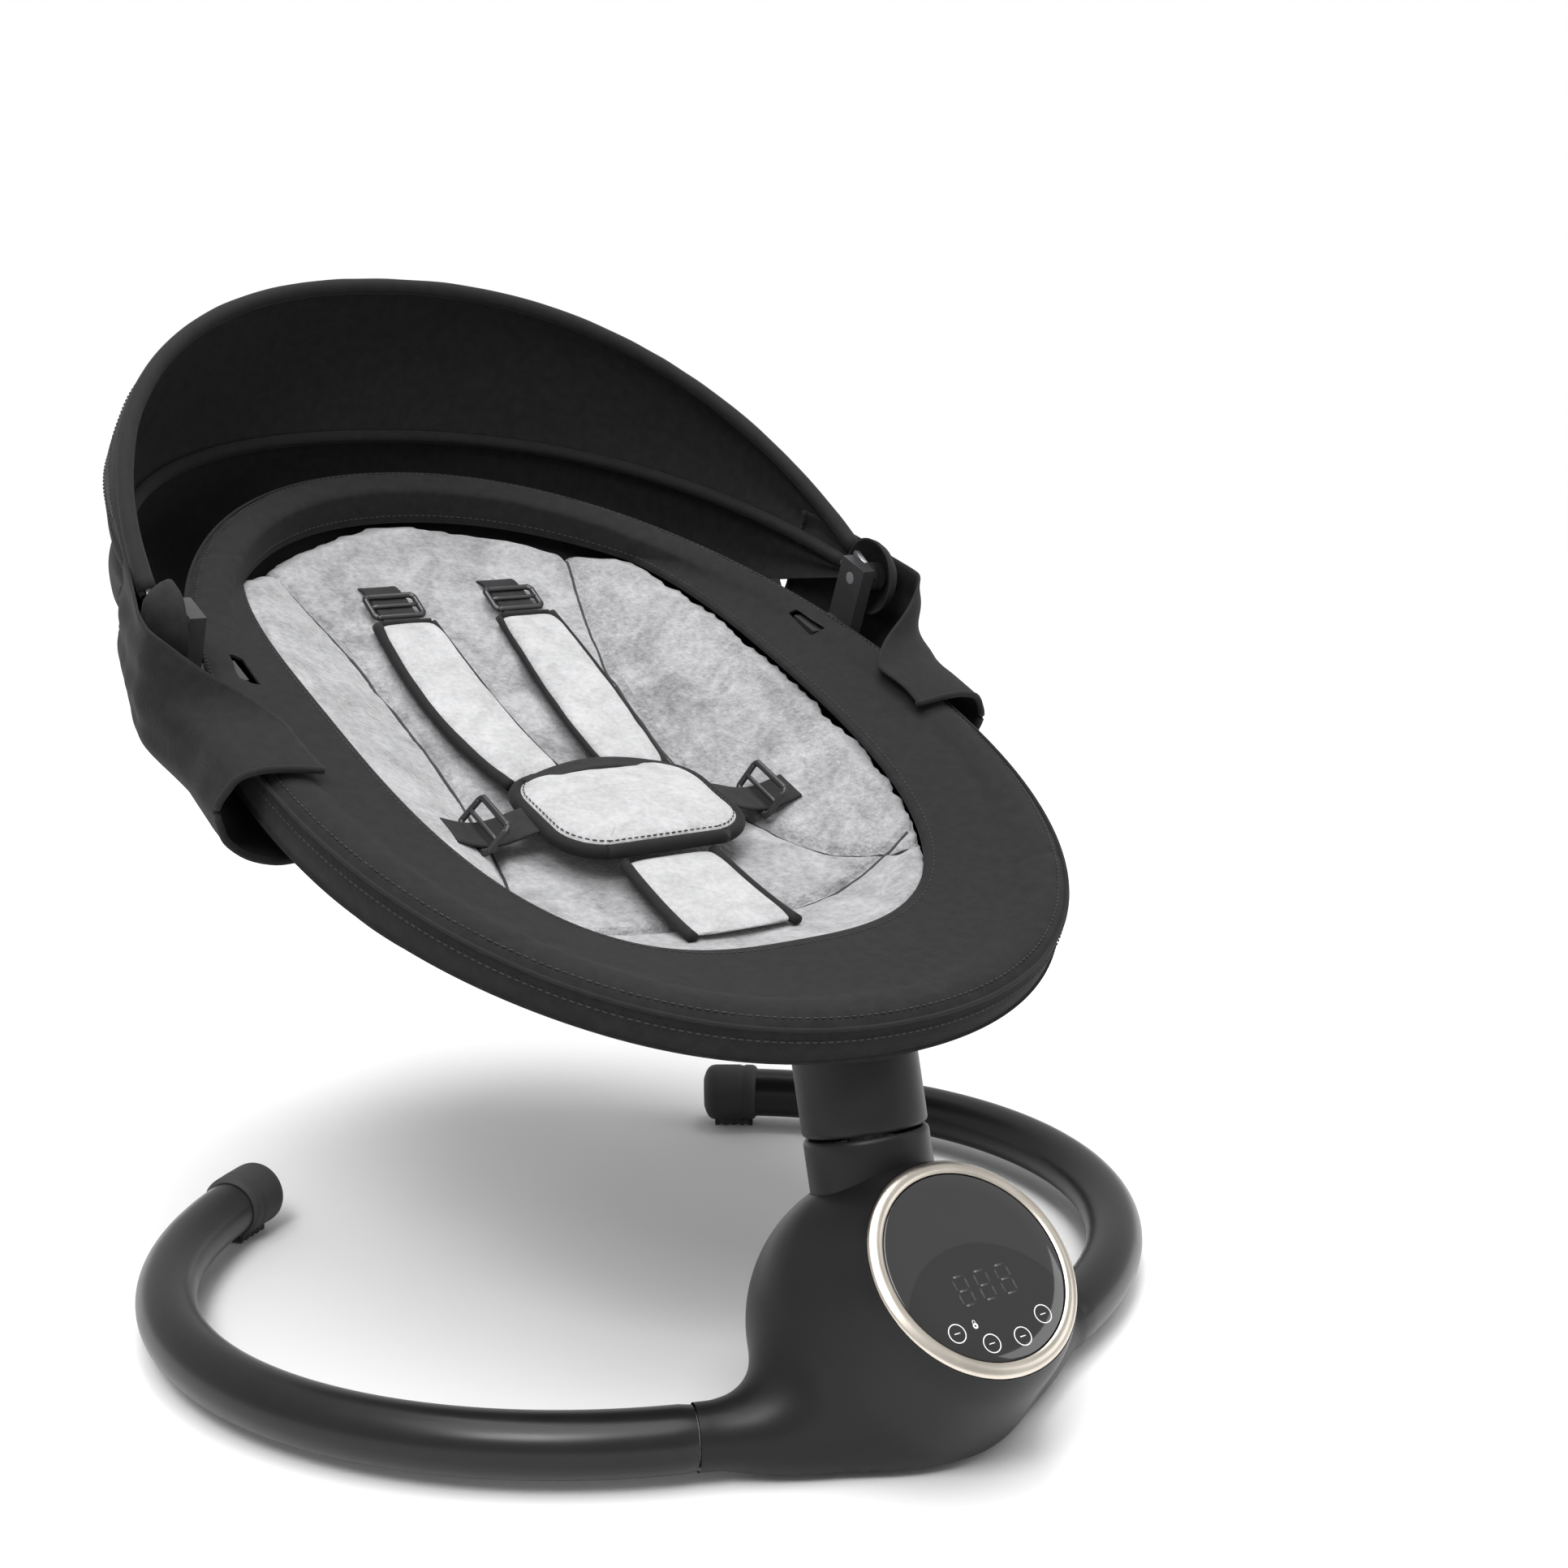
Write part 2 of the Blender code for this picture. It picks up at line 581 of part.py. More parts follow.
def build_drive(swing, drive):
    low = -COLLAR_DEPTH
    web = low + 0.0025
    ring_piece("lower_bearing", SHAFT_RADIUS + GAP, BEARING_OUTER, web + GAP, web + GAP + BEARING_HEIGHT, "bright_steel")
    ring_piece("upper_bearing", SHAFT_RADIUS + GAP, STEM_BORE - GAP, -0.006 - BEARING_HEIGHT, -0.006, "bright_steel")
    gear_top = low - 0.004
    gear_low = gear_top - GEAR_THICKNESS
    shaft = [(SHAFT_RADIUS, gear_low - 0.004), (SHAFT_RADIUS, 0.024)]
    add("swing_shaft", turned(shaft, 24, STEM_FRAME), "bright_steel", swing)
    pitch = 360 / GEAR_TEETH
    sector_teeth = 14
    teeth = gear_outline(GEAR_PITCH_RADIUS, pitch, sector_teeth, 90 - pitch * (sector_teeth - 1) / 2)
    hub = [(0.015 * math.cos(math.radians(a)), 0.015 * math.sin(math.radians(a))) for a in range(150, 391, 30)]
    gear = add("sector_gear", plate_in(STEM_FRAME, teeth + hub, gear_low, gear_top), "gear_plastic", swing)
    cut(gear, "gear_bore", turned([(SHAFT_RADIUS + GAP, -0.1), (SHAFT_RADIUS + GAP, 0)], 24, STEM_FRAME))

    pinion_pitch_radius = GEAR_PITCH_RADIUS * PINION_TEETH / GEAR_TEETH
    pinion_y = GEAR_PITCH_RADIUS + pinion_pitch_radius + GAP
    pinion_frame = STEM_FRAME @ Matrix.Translation((0, pinion_y, 0))
    bracket_top = gear_low - 0.0015
    bracket_low = bracket_top - 0.003
    spin = axis_empty("pinion_axis", pinion_frame @ Vector((0, 0, gear_low)))
    pinion_pitch = 360 / PINION_TEETH
    points = gear_outline(pinion_pitch_radius, pinion_pitch, PINION_TEETH, -90)
    wheel = plate_in(pinion_frame, points, gear_low, gear_top)
    pinion = add("motor_pinion", wheel, "bright_steel", spin)
    stub = turned([(0.0016, bracket_low + GAP), (0.0016, gear_low + 0.001)], 12, pinion_frame)
    cut(pinion, "pinion_shaft", stub, "UNION")

    outline = []
    for a in range(180, 361, 20):
        outline.append((0.034 * math.cos(math.radians(a)), 0.034 * math.sin(math.radians(a))))
    for a in range(0, 181, 20):
        r = MOTOR_RADIUS + 0.0015
        outline.append((r * math.cos(math.radians(a)), pinion_y + r * math.sin(math.radians(a))))
    bracket = add("motor_bracket", plate_in(STEM_FRAME, outline, bracket_low, bracket_top), "bright_steel")
    bore = turned([(SHAFT_RADIUS + RUN, -0.1), (SHAFT_RADIUS + RUN, 0)], 24, STEM_FRAME)
    boss = turned([(0.004, -0.1), (0.004, 0)], 16, pinion_frame)
    cut(bracket, "bracket_bores", joined([bore, boss]))
    for i, a in enumerate((215, 270, 325)):
        x, y = 0.0295 * math.cos(math.radians(a)), 0.0295 * math.sin(math.radians(a))
        place = STEM_FRAME @ Matrix.Translation((x, y, 0))
        post = turned([(0.0035, bracket_low + 0.001), (0.0035, low - 0.002 - GAP)], 12, place)
        cut(bracket, f"bracket_post_{i}", post, "UNION")
    can = bracket_low - GAP
    body = [(MOTOR_RADIUS - 0.001, can - MOTOR_LENGTH), (MOTOR_RADIUS, can - MOTOR_LENGTH + 0.001),
            (MOTOR_RADIUS, can - 0.001), (MOTOR_RADIUS - 0.001, can)]
    add("swing_motor", turned(body, 24, pinion_frame), "bright_steel")


def below_plate():
    """The space above the spreader plate's underside, which trims what comes up to it."""
    return box_shape((-0.1, -0.5, PLATE_BOTTOM - GAP), (0.1, 0, 0.2), SEAT_FRAME)


def build_stem_head(swing):
    web_low, web_top = 0.020, 0.026
    section = [(SHAFT_RADIUS + GAP, web_low), (STEM_BORE, web_low), (STEM_BORE, RUN), (STEM_RADIUS, RUN),
               (STEM_RADIUS, 0.100), (STEM_BORE, 0.100), (STEM_BORE, web_top), (SHAFT_RADIUS + GAP, web_top)]
    sleeve = add("stem_sleeve", turned(section, 40, STEM_FRAME, bored=True), "housing_plastic", swing)
    cut(sleeve, "sleeve_trim", below_plate())
    core = [(STEM_BORE - GAP, web_top + GAP), (STEM_BORE - GAP, 0.100)]
    core = add("hub_core", turned(core, 40, STEM_FRAME), "housing_plastic", swing)
    cut(core, "core_trim", below_plate())
    holes = []
    for word, x in (("left", -HUB_BOLT_X), ("right", HUB_BOLT_X)):
        place = SEAT_FRAME @ Matrix.Translation((x, HUB_BOLT_PLACE, 0))
        head = PLATE_TOP + GAP
        outline = [(0.003, head - 0.013), (0.003, head), (0.005, head), (0.005, head + 0.0035)]
        add(f"{word}_hub_bolt", turned(outline, 12, place), "bright_steel", swing)
        holes.append(turned([(0.0033, head - 0.016), (0.0033, head + 0.001)], 12, place))
    cut(core, "core_holes", joined(holes))
    plate = []
    for s, x in ((-0.299, 0.030), (-0.287, 0.066), (-0.269, 0.096), (-0.246, 0.116), (-0.236, 0.118)):
        plate.append((x, s))
    outline = plate + [(0.050, -0.229), (-0.050, -0.229)] + [(-x, s) for x, s in reversed(plate)]
    spreader = add("spreader_plate", plate_in(SEAT_FRAME, outline, PLATE_BOTTOM, PLATE_TOP), "black_paint", swing)
    cut(spreader, "plate_holes", joined(holes))


# ---- seat -------------------------------------------------------------------------------------------------
def oval(degrees, half_width, half_length, roundness, taper, shift=0.0):
    angle = math.radians(degrees)
    across, along = power(math.cos(angle), 2 / roundness), power(math.sin(angle), 2 / roundness)
    return half_width * across * (1 + taper * along), shift + half_length * along


def seat_oval(degrees, inset, height):
    x, s = oval(degrees, SEAT_HALF_WIDTH - inset, SEAT_HALF_LENGTH - inset, SEAT_ROUNDNESS, SEAT_TAPER)
    return Vector((x, s, height))


def ring_centre(degrees):
    return seat_oval(degrees, RING_INSET, -RING_DROP)


def plush_edge(degrees, inset=0.0):
    """The edge of the plush, an oval of its own that is kept inside the ring tube."""
    x, s = oval(degrees, PLUSH_HALF_WIDTH - inset, PLUSH_HALF_LENGTH - inset, PLUSH_ROUNDNESS, 0, PLUSH_SHIFT)
    length = SEAT_HALF_LENGTH - PLUSH_INSET - inset
    width = (SEAT_HALF_WIDTH - PLUSH_INSET - inset) * (1 + SEAT_TAPER * s / length)
    outside = ((abs(x) / width) ** SEAT_ROUNDNESS + (abs(s) / length) ** SEAT_ROUNDNESS) ** (1 / SEAT_ROUNDNESS)
    x, s = x / max(outside, 1), s / max(outside, 1)
    along = (s - PLUSH_SHIFT) / PLUSH_HALF_LENGTH
    return Vector((x, s, -PLUSH_EDGE_DROP - PLUSH_END_DROP * along * along))


def ease(value, low, high):
    share = min(max((value - low) / (high - low), 0), 1)
    return share * share * (3 - 2 * share)


def belly_depth(s):
    return BELLY_FOOT_DEPTH + (BELLY_HEAD_DEPTH - BELLY_FOOT_DEPTH) * ease(s, -0.12, 0.26)


def belly_point(degrees, share, skin):
    """On the cover's belly: share is 1 at the foot of the side band and 0 in the middle."""
    edge = seat_oval(degrees, skin, 0)
    x, s = edge.x * share, edge.y * share
    sag = 1 - share * share
    band = FOOT_BAND + (SIDE_BAND - FOOT_BAND) * ease(edge.y, -0.26, -0.10)
    return Vector((x, s, -band - (belly_depth(s) - band - skin) * sag))


def plush_height(x, s):
    """The plush's top surface under a point of the seat."""
    across, along = abs(x) / PLUSH_HALF_WIDTH, abs(s - PLUSH_SHIFT) / PLUSH_HALF_LENGTH
    reach = min((across**PLUSH_ROUNDNESS + along**PLUSH_ROUNDNESS) ** (1 / PLUSH_ROUNDNESS), 1)
    depth = PLUSH_DEPTH * (1 - 0.5 * ease(s, -0.02, 0.24))
    edge = -PLUSH_EDGE_DROP - PLUSH_END_DROP * min(along, 1) ** 2
    return edge - depth * math.sqrt(max(1 - reach**2.2, 0))


ROUND = [360 * i / 36 for i in range(36)]


def seat_ring(points):
    return [SEAT_FRAME @ point for point in points]


def build_ring_frame(swing):
    up = (SEAT_FRAME.to_3x3() @ Vector((0, 0, 1))).normalized()

    def path(first, last, count):
        return sampled(ring_centre, first, last, count, SEAT_FRAME)

    split = RING_SPLIT_ANGLE
    bore = RING_TUBE_RADIUS - RING_TUBE_WALL
    front = path(-180 - split + 0.1, split - 0.1, 25)
    rear = path(split + 0.1, 180 - split - 0.1, 21)
    add("ring_tube_front", pipe(front, RING_TUBE_RADIUS, bore, up, 10), "black_paint", swing)
    add("ring_tube_rear", pipe(rear, RING_TUBE_RADIUS, bore, up, 10), "black_paint", swing)
    for word, middle in (("left", 180 - split), ("right", split)):
        join = path(middle - 7, middle + 7, 5)
        add(f"{word}_ring_joiner", loft(tube_rings(join, bore - JOINER_PLAY, up, 10)), "bright_steel", swing)


def build_cover(swing):
    def band(inset, height):
        return seat_ring([seat_oval(a, inset, height) for a in ROUND])

    def between(share, height):
        points = []
        for a in ROUND:
            outer = seat_oval(a, BAND_SHOULDER, height - 0.002)
            inner = plush_edge(a)
            inner.z += height
            points.append(outer.lerp(inner, share))
        return seat_ring(points)

    shares = [1, 0.97, 0.88, 0.72, 0.50, 0.25, 0.06]
    outside = [between(1, 0), between(0.4, 0), band(0.025, 0.0005), band(0.011, 0.0030), band(0, 0)]
    outside += [seat_ring([belly_point(a, share, 0) for a in ROUND]) for share in shares]
    low = -COVER_SKIN
    inside = [between(1, low), between(0.4, low), band(0.025, 0.0005 + low), band(0.011, 0.0030 + low),
              band(COVER_SKIN, low)]
    inside += [seat_ring([belly_point(a, share, COVER_SKIN) for a in ROUND]) for share in shares]
    cover = add("seat_cover", loft(outside[::-1] + inside), "black_fabric", swing, smooth=60)
    opening = [(STEM_RADIUS + STEM_HOLE_GAP, -0.02), (STEM_RADIUS + STEM_HOLE_GAP, 0.055)]
    cut(cover, "stem_opening", turned(opening, 32, STEM_FRAME))
    for side in (-1, 1):
        low_corner, high_corner = clip_box(0.0025)
        cut(cover, f"clip_opening_{side + 1}", mirrored(box_shape(low_corner, high_corner), side))


def build_plush(swing):
    shares = [1, 0.96, 0.84, 0.66, 0.42, 0.15]

    def layer(share, drop):
        points = []
        for a in ROUND:
            edge = plush_edge(a, FABRIC_GAP)
            x, s = edge.x * share, PLUSH_SHIFT + (edge.y - PLUSH_SHIFT) * share
            points.append(Vector((x, s, plush_height(x, s) - drop)))
        return seat_ring(points)

    top = [layer(share, 0) for share in shares]
    low = [layer(share, min(PLUSH_THICKNESS, 0.005 + 0.05 * (1 - share))) for share in shares]
    add("seat_pad", loft(top[::-1] + low), "grey_plush", swing, smooth=60)


# ---- harness ----------------------------------------------------------------------------------------------
def ribbon(path, width, thickness):
    """A flat strap along points of the seat; the points are the middle of its underside."""
    rings = []
    for i, point in enumerate(path):
        along = path[min(i + 1, len(path) - 1)] - path[max(i - 1, 0)]
        side = Vector((along.y, -along.x, 0)).normalized() * (width / 2)
        up = side.cross(along).normalized()
        if up.z < 0:
            up = -up
        top = point + up * thickness
        rings.append(seat_ring([point - side, point + side, top + side, top - side]))
    return loft(rings)


def above(x, s, lift):
    """A point over the plush: clear of it, also under the strap's edges."""
    return Vector((x, s, plush_height(x, s) + lift))


def rounded_slab(size, corner, centre, tilt):
    outline = []
    for sx, sy, start in ((1, -1, -90), (1, 1, 0), (-1, 1, 90), (-1, -1, 180)):
        for turn in range(5):
            angle = math.radians(start + 22.5 * turn)
            outline.append((sx * (size[0] / 2 - corner) + corner * math.cos(angle),
                            sy * (size[1] / 2 - corner) + corner * math.sin(angle)))
    place = SEAT_FRAME @ Matrix.Translation(centre) @ Matrix.Rotation(tilt, 4, "X")
    half = size[2] / 2
    rows = []
    for inset, z in ((0.003, -half), (0, -half + 0.003), (0, half - 0.003), (0.003, half)):
        scale = 1 - 2 * inset / size[0]
        rows.append([place @ Vector((x * scale, y * scale, z)) for x, y in outline])
    return loft(rows)


def keeper(point, along, width, height, length):
    """A tri-glide as a slotted loop round a strap."""
    along = along.normalized()
    side = along.cross(Vector((0, 0, 1))).normalized()
    up = side.cross(along)
    slot_w, slot_h = WEBBING[0] / 2 + 0.0008, WEBBING[1] / 2 + 0.0010

    def row(half_w, half_h, shift):
        corners = ((-half_w, -half_h), (half_w, -half_h), (half_w, half_h), (-half_w, half_h))
        return seat_ring([point + side * a + up * b + along * shift for a, b in corners])

    half = length / 2
    rings = [row(slot_w, slot_h, -half), row(width / 2, height / 2, -half), row(width / 2, height / 2, half),
             row(slot_w, slot_h, half)]
    return loft(rings, loop=True)


def build_harness(swing):
    belly_height = plush_height(0, BELLY_PAD_PLACE) + BELLY_PAD_LIFT
    centre = Vector((0, BELLY_PAD_PLACE, belly_height + BELLY_PAD[2] / 2))
    add("belly_pad", rounded_slab(BELLY_PAD, 0.026, centre, math.radians(-4)), "grey_plush", swing)
    strap_mid = WEBBING[1] / 2
    pad_end = BELLY_PAD_PLACE + BELLY_PAD[1] / 2 + 0.006
    for side, word in ((-1, "left"), (1, "right")):
        x = side * SHOULDER_X
        steps = [SHOULDER_TOP + 0.028 - 0.040 * i / 4 for i in range(5)]
        strap = [above(x, s, 0.0045) for s in steps]
        add(f"{word}_shoulder_strap", ribbon(strap, *WEBBING), "webbing", swing)
        glide = keeper(strap[2] + Vector((0, 0, strap_mid)), strap[3] - strap[1], *GLIDE)
        add(f"{word}_shoulder_glide", glide, "buckle_plastic", swing)
        first = steps[-1] - 0.001
        path = []
        for i in range(9):
            share = i / 8
            s = first + (pad_end - first) * share
            spread = x * (1 - 0.20 * share)
            path.append(above(spread, s, 0.0035 + 0.010 * share * share))
        add(f"{word}_shoulder_pad", ribbon(path, *SHOULDER_PAD), "grey_plush", swing)
        inner = side * (BELLY_PAD[0] / 2 + 0.0012)
        outer = side * (BELLY_PAD[0] / 2 + 0.048)
        waist = []
        for i in range(6):
            share = i / 5
            wx = inner + (outer - inner) * share
            rest = above(wx, BELLY_PAD_PLACE, 0.0070).z
            start = belly_height + BELLY_PAD[2] / 2 - strap_mid
            waist.append(Vector((wx, BELLY_PAD_PLACE, start + (rest - start) * ease(share, 0, 1))))
        waist = [Vector((p.x, p.y, max(p.z, above(p.x, p.y, 0.0070).z))) for p in waist]
        add(f"{word}_waist_strap", waist_ribbon(waist), "webbing", swing)
        glide = keeper(waist[3] + Vector((0, 0, strap_mid)), waist[4] - waist[2], *GLIDE)
        add(f"{word}_waist_glide", glide, "buckle_plastic", swing)
    first = BELLY_PAD_PLACE - BELLY_PAD[1] / 2 - 0.006
    path = []
    for i in range(7):
        share = i / 6
        path.append(above(0, first - 0.075 * share, 0.0135 - 0.009 * share))
    add("crotch_strap", ribbon(path, CROTCH_WIDTH, 0.006), "grey_plush", swing)


def waist_ribbon(path):
    rings = []
    half = WEBBING[0] / 2
    for i, point in enumerate(path):
        along = path[min(i + 1, len(path) - 1)] - path[max(i - 1, 0)]
        up = Vector((-along.z, 0, along.x)).normalized()
        if up.z < 0:
            up = -up
        side = Vector((0, half, 0))
        top = point + up * WEBBING[1]
        rings.append(seat_ring([point - side, point + side, top + side, top - side]))
    return loft(rings)


# ---- canopy -----------------------------------------------------------------------------------------------
def seam_half_width(s):
    """The cover's half width at a place along the seat."""
    along = s / SEAT_HALF_LENGTH
    share = (1 - abs(along) ** SEAT_ROUNDNESS) ** (1 / SEAT_ROUNDNESS)
    return SEAT_HALF_WIDTH * (1 + SEAT_TAPER * along) * share


PIVOT_X = seam_half_width(PIVOT_PLACE) + 0.0030  # inner face of the bracket's upstand
REAR_EYE_X = PIVOT_X + BRACKET_THICKNESS + 2 * RUN + EYE_THICKNESS / 2
FRONT_EYE_X = REAR_EYE_X + EYE_THICKNESS + RUN
PIN_HEAD_X = FRONT_EYE_X + EYE_THICKNESS / 2 + RUN


def mirrored(shape, side):
    """A shape of the seat's right side, placed on the given side."""
    verts, faces = shape
    return [SEAT_FRAME @ Vector((side * v[0], v[1], v[2])) for v in verts], faces


def clip_box(margin):
    """The saddle that holds the ring tube, a little smaller than the upstand it is part of."""
    half = BRACKET_WIDTH / 2 - 0.001 + margin
    low = (PIVOT_X - 0.028 - margin, PIVOT_PLACE - half, -RING_DROP - 0.0115 - margin)
    high = (PIVOT_X + BRACKET_THICKNESS - 0.001, PIVOT_PLACE + half, -RING_DROP + 0.0107 + margin / 4)
    return low, high


def build_pivots(swing):
    share = (PIVOT_PLACE / (SEAT_HALF_LENGTH - RING_INSET)) ** (SEAT_ROUNDNESS / 2)
    angle = math.degrees(math.asin(share))
    for side, word in ((-1, "left"), (1, "right")):
        upstand = box_shape((PIVOT_X, PIVOT_PLACE - BRACKET_WIDTH / 2, -RING_DROP - 0.0125),
                            (PIVOT_X + BRACKET_THICKNESS, PIVOT_PLACE + BRACKET_WIDTH / 2, PIVOT_HEIGHT + 0.010))
        bracket = add(f"{word}_canopy_bracket", mirrored(upstand, side), "buckle_plastic", swing)
        cut(bracket, f"{word}_bracket_clip", mirrored(box_shape(*clip_box(0)), side), "UNION")
        ends = sampled(ring_centre, angle - 9, angle + 9, 5)
        channel = loft(tube_rings(ends, RING_TUBE_RADIUS + CLIP_PLAY, Vector((0, 0, 1)), 16))
        cut(bracket, f"{word}_tube_channel", mirrored(channel, side))
        bore = pin_shape([(PIN_RADIUS + GAP, PIVOT_X - 0.02), (PIN_RADIUS + GAP, PIVOT_X + 0.05)], side)
        cut(bracket, f"{word}_pin_hole", bore)
        outline = [(PIN_RADIUS, PIVOT_X), (PIN_RADIUS, PIN_HEAD_X), (0.0072, PIN_HEAD_X), (0.0062, PIN_HEAD_X + 0.002)]
        add(f"{word}_canopy_pin", pin_shape(outline, side), "bright_steel", swing)


def pin_shape(outline, side):
    place = SEAT_FRAME @ Matrix.Translation((0, PIVOT_PLACE, PIVOT_HEIGHT)) @ Matrix.Rotation(
        math.radians(90 * side), 4, "Y")
    return turned(outline, 16, place)


def pin_ring(inner, outer, low, high, side):
    place = SEAT_FRAME @ Matrix.Translation((0, PIVOT_PLACE, PIVOT_HEIGHT)) @ Matrix.Rotation(
        math.radians(90 * side), 4, "Y")
    return turned([(inner, low), (outer, low), (outer, high), (inner, high)], 20, place, bored=True)


def arch_point(turn, phi, half_width, radius):
    """On an arch over the seat: turn runs 0 to 180 from pivot to pivot, phi tilts it up from the head end."""
    angle = math.radians(turn)
    x = half_width * power(math.cos(angle), 2 / CANOPY_ROUNDNESS)
    reach = radius * abs(math.sin(angle)) ** (2 / CANOPY_ROUNDNESS)
    tilt = math.radians(phi)
    return Vector((x, PIVOT_PLACE + reach * math.cos(tilt), PIVOT_HEIGHT + reach * math.sin(tilt)))


def arch_reach(turn, radius):
    return radius * abs(math.sin(math.radians(turn))) ** (2 / CANOPY_ROUNDNESS)


def build_bow(name, phi, eye_x, radius, parent):
    first = math.degrees(math.asin((0.0065 / radius) ** (CANOPY_ROUNDNESS / 2)))
    tilt = math.radians(phi)
    square = Vector((0, -math.sin(tilt), math.cos(tilt)))
    path = sampled(lambda turn: arch_point(turn, phi, eye_x, radius), first, 180 - first, 27)
    rings = [seat_ring(ring) for ring in tube_rings(path, BOW_RADIUS, square, 6)]
    bow = add(name, loft(rings), "bright_steel", parent)
    for side in (-1, 1):
        eye = pin_ring(PIN_RADIUS + RUN / 2, EYE_RADIUS, eye_x - EYE_THICKNESS / 2, eye_x + EYE_THICKNESS / 2, side)
        cut(bow, f"{name}_eye_{side + 1}", eye, "UNION")
        bore = pin_shape([(PIN_RADIUS + RUN / 2, eye_x - 0.01), (PIN_RADIUS + RUN / 2, eye_x + 0.01)], side)
        cut(bow, f"{name}_bore_{side + 1}", bore)


def build_panel_of(name, low_phi, high_phi, widths, radii, margins, parent):
    """A canopy panel between two arches; margins keep it clear of a bow at either edge."""
    turns = [14 + 152 * i / 24 for i in range(25)]
    rows_out, rows_in = [], []
    for step in range(4):
        share = step / 3
        out, under = [], []
        for turn in turns:
            width = widths[0] + (widths[1] - widths[0]) * share
            radius = radii[0] + (radii[1] - radii[0]) * share
            reach = arch_reach(turn, radius)
            low = low_phi + math.degrees(margins[0] / reach)
            high = high_phi - math.degrees(margins[1] / reach)
            phi = low + (high - low) * share
            out.append(SEAT_FRAME @ arch_point(turn, phi, width, radius))
            under.append(SEAT_FRAME @ arch_point(turn, phi, width - CANOPY_SKIN, radius - CANOPY_SKIN))
        rows_out.append(out)
        rows_in.append(under)
    add(name, sheet(rows_out, rows_in), "black_fabric", parent, smooth=60)


def build_canopy(rear, front):
    rear_radius = CANOPY_RADIUS - 0.006
    build_bow("canopy_front_bow", FRONT_BOW_ANGLE, FRONT_EYE_X, CANOPY_RADIUS, front)
    build_bow("canopy_rear_bow", REAR_BOW_ANGLE, REAR_EYE_X, rear_radius, rear)
    clear = BOW_RADIUS + FABRIC_GAP
    build_panel_of("canopy_front_panel", REAR_BOW_ANGLE, FRONT_BOW_ANGLE, (REAR_EYE_X, FRONT_EYE_X),
                   (rear_radius, CANOPY_RADIUS), (clear, clear), front)
    build_panel_of("canopy_rear_panel", REAR_EDGE_ANGLE, REAR_BOW_ANGLE, (REAR_EYE_X - 0.004, REAR_EYE_X),
                   (rear_radius - 0.012, rear_radius), (0, clear), rear)


def build_pockets(swing):
    """Fabric sleeves that close over the ring in front and stand open round the canopy's pivots."""
    closed = ((-0.030, 0.0052), (-0.012, 0.0080), (0.004, 0.0085), (0.017, 0.0040), (0.0225, -0.010),
              (0.0200, -0.026), (0.008, -0.040), (-0.010, -0.047))
    opened = ((0.0335, 0.040), (0.0345, 0.030), (0.0350, 0.018), (0.0350, 0.004), (0.0340, -0.010),
              (0.0290, -0.028), (0.014, -0.040), (-0.010, -0.047))
    out, under = [], []
    for i in range(10):
        s = POCKET_SPAN[0] + (POCKET_SPAN[1] - POCKET_SPAN[0]) * i / 9
        share = ease(s, -0.005, 0.052)
        section = [Vector(a).lerp(Vector(b), share) for a, b in zip(closed, opened)]
        outer, inner = [], []
        for j, point in enumerate(section):
            along = (section[min(j + 1, len(section) - 1)] - section[max(j - 1, 0)]).normalized()
            inward = point + Vector((along.y, -along.x)) * POCKET_SKIN
            outer.append((seam_half_width(s) + point.x, s, point.y))
            inner.append((seam_half_width(s) + inward.x, s, inward.y))
        out.append(outer)
        under.append(inner)
    for side, word in ((-1, "left"), (1, "right")):
        add(f"{word}_pocket", mirrored(sheet(out, under), side), "black_fabric", swing, smooth=60)


# ---- whole swing ------------------------------------------------------------------------------------------
def main():
    clear_scene()
    swing = axis_empty("swing_axis", STEM_ORIGIN)
    pivot = SEAT_FRAME @ Vector((0, PIVOT_PLACE, PIVOT_HEIGHT))
    rear = axis_empty("canopy_rear_axis", pivot)
    front = axis_empty("canopy_front_axis", pivot)
    build_legs()
    build_housing()
    build_socket()
    build_panel()
    build_electronics()
    build_collar()
    build_drive(swing, swing)
    build_stem_head(swing)
    build_ring_frame(swing)
    build_cover(swing)
    build_plush(swing)
    build_harness(swing)
    build_pivots(swing)
    build_canopy(rear, front)
    build_pockets(swing)


main()
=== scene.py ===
"""The electric baby swing's visible pieces, built over its mechanical frame."""

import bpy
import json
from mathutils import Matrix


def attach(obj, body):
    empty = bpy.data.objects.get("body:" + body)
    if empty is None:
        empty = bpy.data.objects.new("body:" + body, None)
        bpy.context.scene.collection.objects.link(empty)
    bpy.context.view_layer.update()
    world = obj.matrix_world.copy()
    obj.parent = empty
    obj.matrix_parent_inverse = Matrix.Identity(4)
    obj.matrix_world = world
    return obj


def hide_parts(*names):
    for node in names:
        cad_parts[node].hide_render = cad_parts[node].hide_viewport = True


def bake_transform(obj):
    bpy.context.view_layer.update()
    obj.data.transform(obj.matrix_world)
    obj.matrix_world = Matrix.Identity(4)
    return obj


bl_info = {
    "name": "Baby swing",
    "version": (1, 0, 0),
    "blender": (4, 5, 0),
    "location": "View3D > Sidebar > Swing",
    "description": "Builds the fabric, plastic and metal pieces of an electric baby swing",
    "category": "Object",
}

import json
import math

import bmesh
import bpy
import numpy as np
from bpy.props import FloatProperty, FloatVectorProperty, PointerProperty
from mathutils import Matrix, Vector, noise
from mathutils.bvhtree import BVHTree

